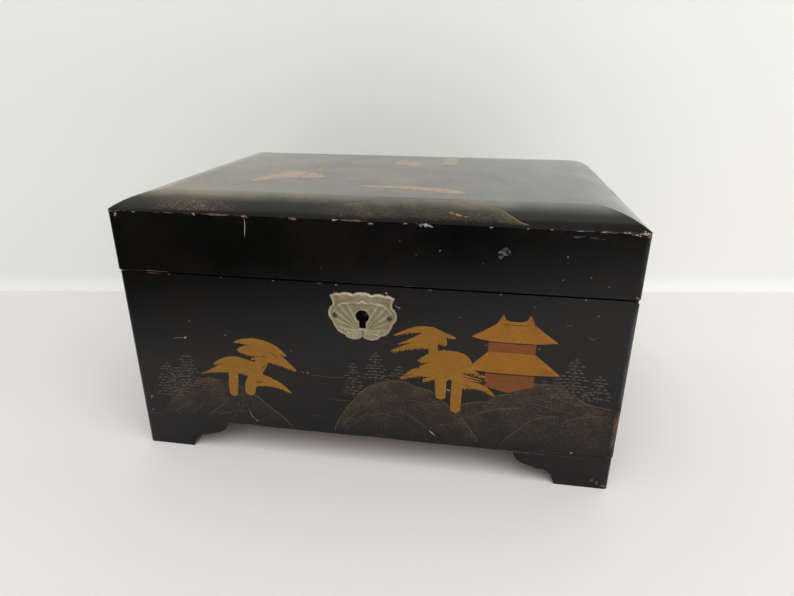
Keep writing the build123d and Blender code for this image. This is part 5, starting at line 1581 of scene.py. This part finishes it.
def reliefHeight(plan, outline, keyLine, values):
    # the casting's height over the door: plate, rolled rim, arch, shell rays, top lobes, scrolls and a collar
    # about the keyhole
    x, z = plan[..., 0], plan[..., 1]
    toEdge = nearLine(plan, outline)
    toKey = nearLine(plan, keyLine)
    arch = smoothLine(values["arch"], 240)
    toArch = nearLine(plan, arch)
    archZ = np.interp(x, arch[:, 0], arch[:, 1])
    below = np.clip((archZ - z) / 0.8, 0, 1)
    height = np.full_like(x, values["plate"])
    height = height + 0.34 * np.exp(-((toEdge - 0.75) / 0.5) ** 2)
    height = height + 0.36 * np.exp(-(toArch / 0.5) ** 2) - 0.18 * np.exp(-((toArch - 1.2) / 0.6) ** 2)
    # shell rays fan out from low in the middle
    up = z - values["rayFoot"]
    reach = np.hypot(x, up)
    lean = np.degrees(np.arctan2(np.abs(x), up))
    raySum = np.zeros_like(x)
    for number, ray in enumerate(values["rays"]):
        width = 3.6 + 0.3 * number
        raySum = raySum + np.exp(-((lean - ray) / width) ** 2)
    shell = np.clip((reach - 3.0) / 4.0, 0, 1) * np.clip((toEdge - 1.4) / 1.2, 0, 1)
    shell = shell * below * np.clip(toKey / 1.2, 0, 1)
    height = height + shell * (0.42 * raySum - 0.22)
    # lobes under the scalloped top
    band = (1 - below) * np.clip((toEdge - 0.9) / 0.8, 0, 1)
    height = height + band * (0.16 * np.cos(np.abs(x) / 9.4 * 2 * math.pi) - 0.10)
    # each lobe is filled with small carved leaves
    leaves = np.sin(x * 5.2 + 2.0 * np.sin(z * 2.1)) * np.sin(z * 4.4 + np.abs(x) * 0.9)
    height = height + band * 0.13 * leaves
    # two petals at the foot with a small scroll on each
    petal = np.clip((82.2 - z) / 1.4, 0, 1) * np.clip((toEdge - 0.8) / 1.0, 0, 1)
    cleft = np.exp(-(x / 0.45) ** 2) * np.clip((81.5 - z) / 2, 0, 1)
    height = height + petal * 0.22 * (1 - np.exp(-(x / 0.8) ** 2)) - 0.35 * cleft
    for side in (-1, 1):
        cx, cz = side * values["scroll"][0], values["scroll"][1]
        turn = np.arctan2(z - cz, (x - cx) * side)
        away = np.hypot(x - cx, z - cz)
        coil = np.cos(away * 2.6 - turn)
        height = height + 0.24 * coil * np.exp(-(away / 2.0) ** 2)
    height = height + 0.22 * np.exp(-((toKey - 0.5) / 0.5) ** 2)
    height = height + 0.02 * waves(x / 9 + z / 13, 8, 6, 1, 6)
    return height, toEdge, toKey


def makeEscutcheon(values):
    # a ring of points from the keyhole's edge to the outline, angle by share; its two edges turn down to the
    # wood
    center = np.array(values["center"])
    turns = np.linspace(0, 2 * math.pi, 360, endpoint=False)
    outline = escutcheonEdge(values)
    outer = reachAtAngles(outline, center, turns)
    keyAngle = np.linspace(0, 2 * math.pi, 300, endpoint=False)
    radius, foot = values["keyRadius"], values["slotFoot"]
    circle = np.stack([radius * np.sin(keyAngle), values["centerZ"] + radius * np.cos(keyAngle)], -1)
    half = values["slotWidth"] / 2
    joinZ = values["centerZ"] - math.sqrt(radius ** 2 - half ** 2)
    circle = circle[circle[:, 1] > joinZ]
    slot = straightLine([(half, joinZ), (half, foot + 0.4), (half - 0.5, foot), (0.5 - half, foot),
                         (-half, foot + 0.4), (-half, joinZ)], 160)
    keyLine = np.concatenate([circle, slot])
    inner = reachAtAngles(keyLine, center, turns)
    share = 0.5 - 0.5 * np.cos(np.linspace(0, 1, 52) * math.pi)
    reach = inner[:, None] + (outer - inner)[:, None] * share[None, :]
    plan = center + reach[..., None] * np.stack([np.sin(turns), np.cos(turns)], -1)[:, None]
    height, toEdge, toKey = reliefHeight(plan, outline, keyLine, values)
    turnDown = np.sqrt(np.clip(toEdge / 0.45, 0, 1)) * np.sqrt(np.clip(toKey / 0.35 + 0.25, 0, 1))
    shown = onFront(plan, np.clip(0.35 + (height - 0.35) * turnDown, 0.3, 1.58))
    # close the back: the outer rim and the keyhole's rim both go down to the wood and the back joins them
    ground = np.full((len(turns), 1), -0.02)
    rows = np.concatenate([onFront(plan[:, :1], ground), shown, onFront(plan[:, -1:], ground)], 1)
    count, wide = rows.shape[:2]
    faces = gridFaces(count, wide, closeRows=True, closeColumns=True)
    low = np.full((len(turns), 1), 0.1)
    relief = np.concatenate([low, np.clip((height - 0.7) / 0.8, 0, 1), low], 1)
    piece = putMesh("shellEscutcheon", rows.reshape(-1, 3), [faces], smooth=True)
    giveValue(piece, "relief", relief)
    settle(piece, castPewter, "case")
    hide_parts("escutcheon")


makeEscutcheon(escutcheonSet)
print("escutcheon cast")
makeHills(hillSet)
makeFirs(firSet)
makeFoliage(foliageSet)
makePagoda(pagodaSet)
makeLidArt(lidArtSet)
makeWear(wearSet)
print("painted scenery and wear laid on")

# soft goods

def boxLattice(low, high, step):
    # the outside of a box as even squares: every lattice point that has an index at one end, numbered once
    size = np.asarray(high) - np.asarray(low)
    n = np.maximum(np.round(size / step).astype(int), 2)
    corners = []
    for axis in range(3):
        a, b = (axis + 1) % 3, (axis + 2) % 3
        i, j = np.meshgrid(np.arange(n[a]), np.arange(n[b]), indexing="ij")
        for end in (0, 1):
            square = np.zeros(i.shape + (4, 3), int)
            square[..., axis] = end * n[axis]
            around = ((0, 0), (1, 0), (1, 1), (0, 1)) if end else ((0, 0), (0, 1), (1, 1), (1, 0))
            for k, (da, db) in enumerate(around):
                square[..., k, a] = i + da
                square[..., k, b] = j + db
            corners.append(square.reshape(-1, 4, 3))
    corners = np.concatenate(corners)
    keys = (corners[..., 0] * (n[1] + 1) + corners[..., 1]) * (n[2] + 1) + corners[..., 2]
    first, back = np.unique(keys.ravel(), return_index=True, return_inverse=True)[1:]
    points = low + corners.reshape(-1, 3)[first] / n * size
    return points, back.reshape(-1, 4)


def roundOff(points, low, high, radius):
    # each point is moved to lie radius away from the box that is smaller by radius all round
    radius = np.minimum(radius, (high - low) / 2 * 0.98)
    inner = np.clip(points, low + radius, high - radius)
    away = (points - inner) / radius
    length = np.linalg.norm(away, axis=-1, keepdims=True)
    return inner + away / np.maximum(length, 1e-6) * radius


def readPoints(mesh):
    # a mesh's points as (count, 3), in metres
    flat = np.zeros(len(mesh.vertices) * 3, np.float32)
    mesh.vertices.foreach_get("co", flat)
    return flat.reshape(-1, 3).astype(float)


clothSet = {"quality": 5, "mass": 0.05, "air_damping": 1.0, "tension_stiffness": 12,
            "compression_stiffness": 12,
            "shear_stiffness": 4, "bending_stiffness": 0.05}
simulatedFrames = 20


def inflate(piece, pressure, cap, held):
    # cloth simulation with air pressure and no gravity; held points stay, and no point goes further than cap
    start = readPoints(piece.data)
    group = piece.vertex_groups.new(name="held")
    group.add(np.flatnonzero(held).tolist(), 1.0, "REPLACE")
    cloth = piece.modifiers.new("air", "CLOTH")
    settings = cloth.settings
    for key, value in clothSet.items():
        setattr(settings, key, value)
    settings.use_pressure = True
    settings.uniform_pressure_force = pressure
    settings.vertex_group_mass = "held"
    settings.effector_weights.gravity = 0
    cloth.collision_settings.use_collision = False
    cloth.point_cache.frame_start, cloth.point_cache.frame_end = 1, simulatedFrames
    for number in range(1, simulatedFrames + 1):
        scene.frame_set(number)
    graph = bpy.context.evaluated_depsgraph_get()
    moved = readPoints(piece.evaluated_get(graph).data)
    scene.frame_set(1)
    move = moved - start
    length = np.linalg.norm(move, axis=1, keepdims=True)
    limit = cap * toMetres
    move = move * np.minimum(1, limit / np.maximum(length, 1e-12))
    piece.modifiers.remove(cloth)
    piece.vertex_groups.clear()
    piece.data.vertices.foreach_set("co", (start + move).astype(np.float32).ravel())
    piece.data.update()
    print(piece.name, "inflated, most", round(float(length.max()) / toMetres, 2), "mm before the cap")


def keepInside(piece, low, high):
    # no point leaves the solid that the pad stands for
    points = np.clip(readPoints(piece.data), np.asarray(low) * toMetres, np.asarray(high) * toMetres)
    piece.data.vertices.foreach_set("co", points.astype(np.float32).ravel())
    piece.data.update()


def subdivideOnce(piece):
    # each face becomes four, smoothed
    modifier = piece.modifiers.new("smoother", "SUBSURF")
    modifier.levels = modifier.render_levels = 1


liningSet = {
    # name: axis and side that lies on the wood
    "pads": {"front_lining": (1, 0), "back_lining": (1, 1), "left_lining": (0, 0), "right_lining": (0, 1),
             "floor_lining": (2, 0)},
    "step": 3.2,
    "start": 0.72,    # the share of the thickness that the pad starts with
    "pressure": 3.0,
    "cap": 0.9,
}


def makeLinings(values):
    # velvet over card and wadding: flat where it is glued, rounded at the edges, blown up by the cloth
    # simulation
    for name, (axis, side) in values["pads"].items():
        low, high = nodeBox(name)
        inside = low.copy() + 0.02, high.copy() - 0.02
        start, end = inside[0].copy(), inside[1].copy()
        thick = end[axis] - start[axis]
        if side:
            start[axis] = end[axis] - thick * values["start"]
        else:
            end[axis] = start[axis] + thick * values["start"]
        points, faces = boxLattice(start, end, values["step"])
        # the rim rounds over in one step, and the glued side stays flat
        rounded = roundOff(points, start, end, thick * 0.34)
        glued = np.abs(points[:, axis] - (end[axis] if side else start[axis])) < 0.01
        rounded[glued, axis] = points[glued, axis]
        piece = putMesh(name.replace("_", "") + "Velvet", rounded, [faces], smooth=True)
        inflate(piece, values["pressure"], values["cap"], glued)
        keepInside(piece, *inside)
        subdivideOnce(piece)
        settle(piece, redVelvet, "case")
        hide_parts(name)


rollSet = {
    "stations": 46, "around": 40, "pressure": 4.0, "cap": 0.45,
    "start": 0.95,          # the share of the section that the roll starts with
    "gather": 0.04, "gathers": 9,
    "drawnIn": 3.2,         # the length over which an end is drawn in to its pole
    "poleDown": 1.0,        # how far a pole lies under the shoulder
}


def makeRingRolls(values):
    # a roll: the D-shaped section carried along x, drawn in at both ends to a stitched pole, with small
    # gathers there
    for number in range(1, 6):
        low, high = nodeBox("ring_roll_%d" % number)
        middle, half = (low + high) / 2, (high - low) / 2
        t = np.linspace(0, 1, values["stations"])
        x = low[0] + 0.05 + (high[0] - low[0] - 0.1) * (0.5 - 0.5 * np.cos(math.pi * t))
        fromEnd = np.minimum(x - low[0], high[0] - x)
        draw = np.sqrt(np.clip(1 - (1 - np.clip(fromEnd / values["drawnIn"], 0, 1)) ** 2, 0, 1))
        turn = np.linspace(0, 2 * math.pi, values["around"], endpoint=False)
        shoulder = high[2] - half[1]
        # the section: a half circle above the shoulder, a box with soft corners below it
        c, s = np.cos(turn), np.sin(turn)
        square = np.maximum(np.abs(c), np.abs(s))
        boxy = np.minimum(1 / square, 1.22)
        lower = s * np.clip(boxy, 1, 1.22) / 1.22 * (shoulder - low[2]) * 1.18
        sectionY = np.where(s >= 0, c, c * boxy) * half[1]
        sectionZ = np.where(s >= 0, s * half[1], lower)
        sectionZ = np.maximum(sectionZ, low[2] - shoulder)
        folds = np.cos(turn * values["gathers"] + number)[None, :]
        gather = 1 + values["gather"] * np.exp(-fromEnd / 4.0)[:, None] * folds
        size = draw[:, None] * gather * values["start"]
        y = middle[1] + sectionY[None, :] * size
        z = np.maximum(shoulder + sectionZ[None, :] * size, low[2] + 0.02)
        body = np.stack([np.repeat(x[:, None], len(turn), 1), y, z], -1)[1:-1]
        count = len(body)
        faces = gridFaces(count, len(turn), closeColumns=True)[:, ::-1]
        poleZ = shoulder - values["poleDown"]
        poles = np.array([[x[0], middle[1], poleZ], [x[-1], middle[1], poleZ]])
        around = np.arange(len(turn))
        ahead = (around + 1) % len(turn)
        base = count * len(turn)
        first = np.stack([np.full(len(turn), base), ahead, around], -1)[:, ::-1]
        endRow = base - len(turn)
        last = np.stack([np.full(len(turn), base + 1), endRow + around, endRow + ahead], -1)[:, ::-1]
        points = np.concatenate([body.reshape(-1, 3), poles])
        piece = putMesh("ringRoll%d" % number, points, [faces, first, last], smooth=True)
        held = readPoints(piece.data)[:, 2] < (low[2] + 0.6) * toMetres
        inflate(piece, values["pressure"], values["cap"], held)
        keepInside(piece, low + 0.02, high - 0.02)
        subdivideOnce(piece)
        settle(piece, redVelvet, "tray")
        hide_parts("ring_roll_%d" % number)


frameSet = {"window": (199.4, 124.4), "around": 60, "across": 14, "ripples": 24, "ripple": 0.025,
            "cornerDip": 0.14}


def makeMirrorFrame(values):
    # a padded velvet band round the mirror: inner and outer rectangles joined straight across so that corners
    # mitre, its underside crowned, its top flat on the lid
    low, high = nodeBox("mirror_frame")
    middle = (low + high) / 2
    outer = (high - low)[:2] / 2
    inner = np.array(values["window"]) / 2
    n = values["around"]
    side = np.linspace(-1, 1, n, endpoint=False)
    one = np.ones(n)
    unit = np.concatenate([np.stack(pair, -1) for pair in ((side, -one), (one, side), (-side, one),
                                                           (-one, -side))])
    v = np.linspace(0, 1, values["across"])
    crown = np.sqrt(np.clip(1 - (2 * v - 1) ** 4, 0, 1))
    thick = high[2] - low[2]
    plan = (inner[None, None] + (outer - inner)[None, None] * v[None, :, None]) * unit[:, None]
    corner = np.exp(-((1 - np.abs(unit).min(-1)) / 0.05) ** 2)[:, None]
    ripple = np.cos(np.arange(len(unit)) / len(unit) * 2 * math.pi * values["ripples"])[:, None]
    puff = 0.86 + values["ripple"] * ripple - values["cornerDip"] * corner
    zLow = high[2] - 0.02 - (thick - 0.04) * np.clip(0.12 + crown[None, :] * puff, 0, 1)
    under = np.concatenate([middle[:2] + plan, zLow[..., None]], -1)
    zTop = np.full(zLow.shape, high[2] - 0.01)
    top = np.concatenate([middle[:2] + plan, zTop[..., None]], -1)[:, ::-1]
    ring = np.concatenate([under, top], 1)
    faces = gridFaces(len(unit), ring.shape[1], closeRows=True, closeColumns=True)
    piece = putMesh("mirrorFrameVelvet", ring.reshape(-1, 3), [faces[:, ::-1]], smooth=True)
    settle(piece, redVelvet, "lid")
    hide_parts("mirror_frame")


feltSet = {"gap": 0.3, "wave": 0.10, "step": 3.0}


def makeFelts(values):
    # one velvet-faced sheet in each bay of the tray, between the dividers' own faces, its top a little wavy
    trayLow, trayHigh = nodeBox("tray_felts")
    main, ring, rear, small = [nodeBox("divider_" + n) for n in ("main", "ring", "rear", "small")]
    left, right, front, back = trayLow[0], trayHigh[0], trayLow[1], trayHigh[1]
    gap = values["gap"]
    bays = {
        "feltFrontLeft": (left, main[0][0] - gap, front, ring[0][1] - gap),
        "feltRearRight": (main[1][0] + gap, right, rear[1][1] + gap, back),
        "feltFrontMiddle": (main[1][0] + gap, small[0][0] - gap, front, rear[0][1] - gap),
        "feltFrontRight": (small[1][0] + gap, right, front, rear[0][1] - gap),
    }
    for number, (name, (x0, x1, y0, y1)) in enumerate(bays.items()):
        nx, ny = int((x1 - x0) / values["step"]) + 2, int((y1 - y0) / values["step"]) + 2
        x, y = np.meshgrid(np.linspace(x0, x1, nx), np.linspace(y0, y1, ny), indexing="ij")
        wave = values["wave"] * waves(x / 60 + y / 85, 500 + number, 5, 1, 5)
        fromRim = np.minimum(np.minimum(x - x0, x1 - x), np.minimum(y - y0, y1 - y))
        lift = trayHigh[2] - 0.12 + wave * 0.9 - 0.22 * np.exp(-fromRim / 0.8)
        lift = np.minimum(lift, trayHigh[2] - 0.01)
        sheets = [np.stack([x, y, z], -1).reshape(-1, 3) for z in (lift, np.full_like(x, trayLow[2] + 0.02))]
        piece = putMesh(name, np.concatenate(sheets), [shellFaces(nx, ny)])
        settle(piece, redVelvet, "tray")
        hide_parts("tray_felts")


tabSet = {"halfWidth": 7.0, "thickness": 0.26, "columns": 15}


def makePullTabs(values):
    # a satin ribbon folded over into a loop: a hairpin line in x and z, carried along y with a faint curl
    low, high = nodeBox("pull_tabs")
    bodyHalf = values["halfWidth"]
    for side, name in ((1, "pullTabRight"), (-1, "pullTabLeft")):
        outside = high[0] - 0.15
        inside = high[0] - 1 + 0.15
        radius = (outside - inside) / 2
        topZ = high[2] - radius - 0.2
        bend = np.linspace(0, math.pi, 13)
        line = np.concatenate([
            np.stack([np.full(14, inside), np.linspace(low[2] + 0.1, topZ, 14)], -1)[:-1],
            np.stack([inside + radius - radius * np.cos(bend), topZ + radius * np.sin(bend)], -1),
            np.stack([np.full(14, outside), np.linspace(topZ, low[2] + 0.1, 14)], -1)[1:]])
        step = np.gradient(line, axis=0)
        step = step / np.linalg.norm(step, axis=1, keepdims=True)
        normal = np.stack([-step[:, 1], step[:, 0]], -1)
        y = np.linspace(-bodyHalf + 0.1, bodyHalf - 0.1, values["columns"])
        curl = 0.03 * np.cos(y / bodyHalf * math.pi * 1.5)
        half = values["thickness"] / 2
        sheets = []
        for way in (1, -1):
            xz = line[:, None] + normal[:, None] * (way * half + curl[None, :, None])
            sheets.append(np.stack([xz[..., 0], np.broadcast_to(y, xz.shape[:2]), xz[..., 1]], -1))
        faces = shellFaces(*sheets[0].shape[:2])
        points = np.concatenate(sheets).reshape(-1, 3) * np.array([side, 1, 1])
        piece = putMesh(name, points, [faces if side < 0 else faces[:, ::-1]], smooth=True)
        settle(piece, redSatin, "tray")
        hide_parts("pull_tabs")


makeLinings(liningSet)
makeRingRolls(rollSet)
makeMirrorFrame(frameSet)
makeFelts(feltSet)
makePullTabs(tabSet)
print("velvet, felt and ribbon made")
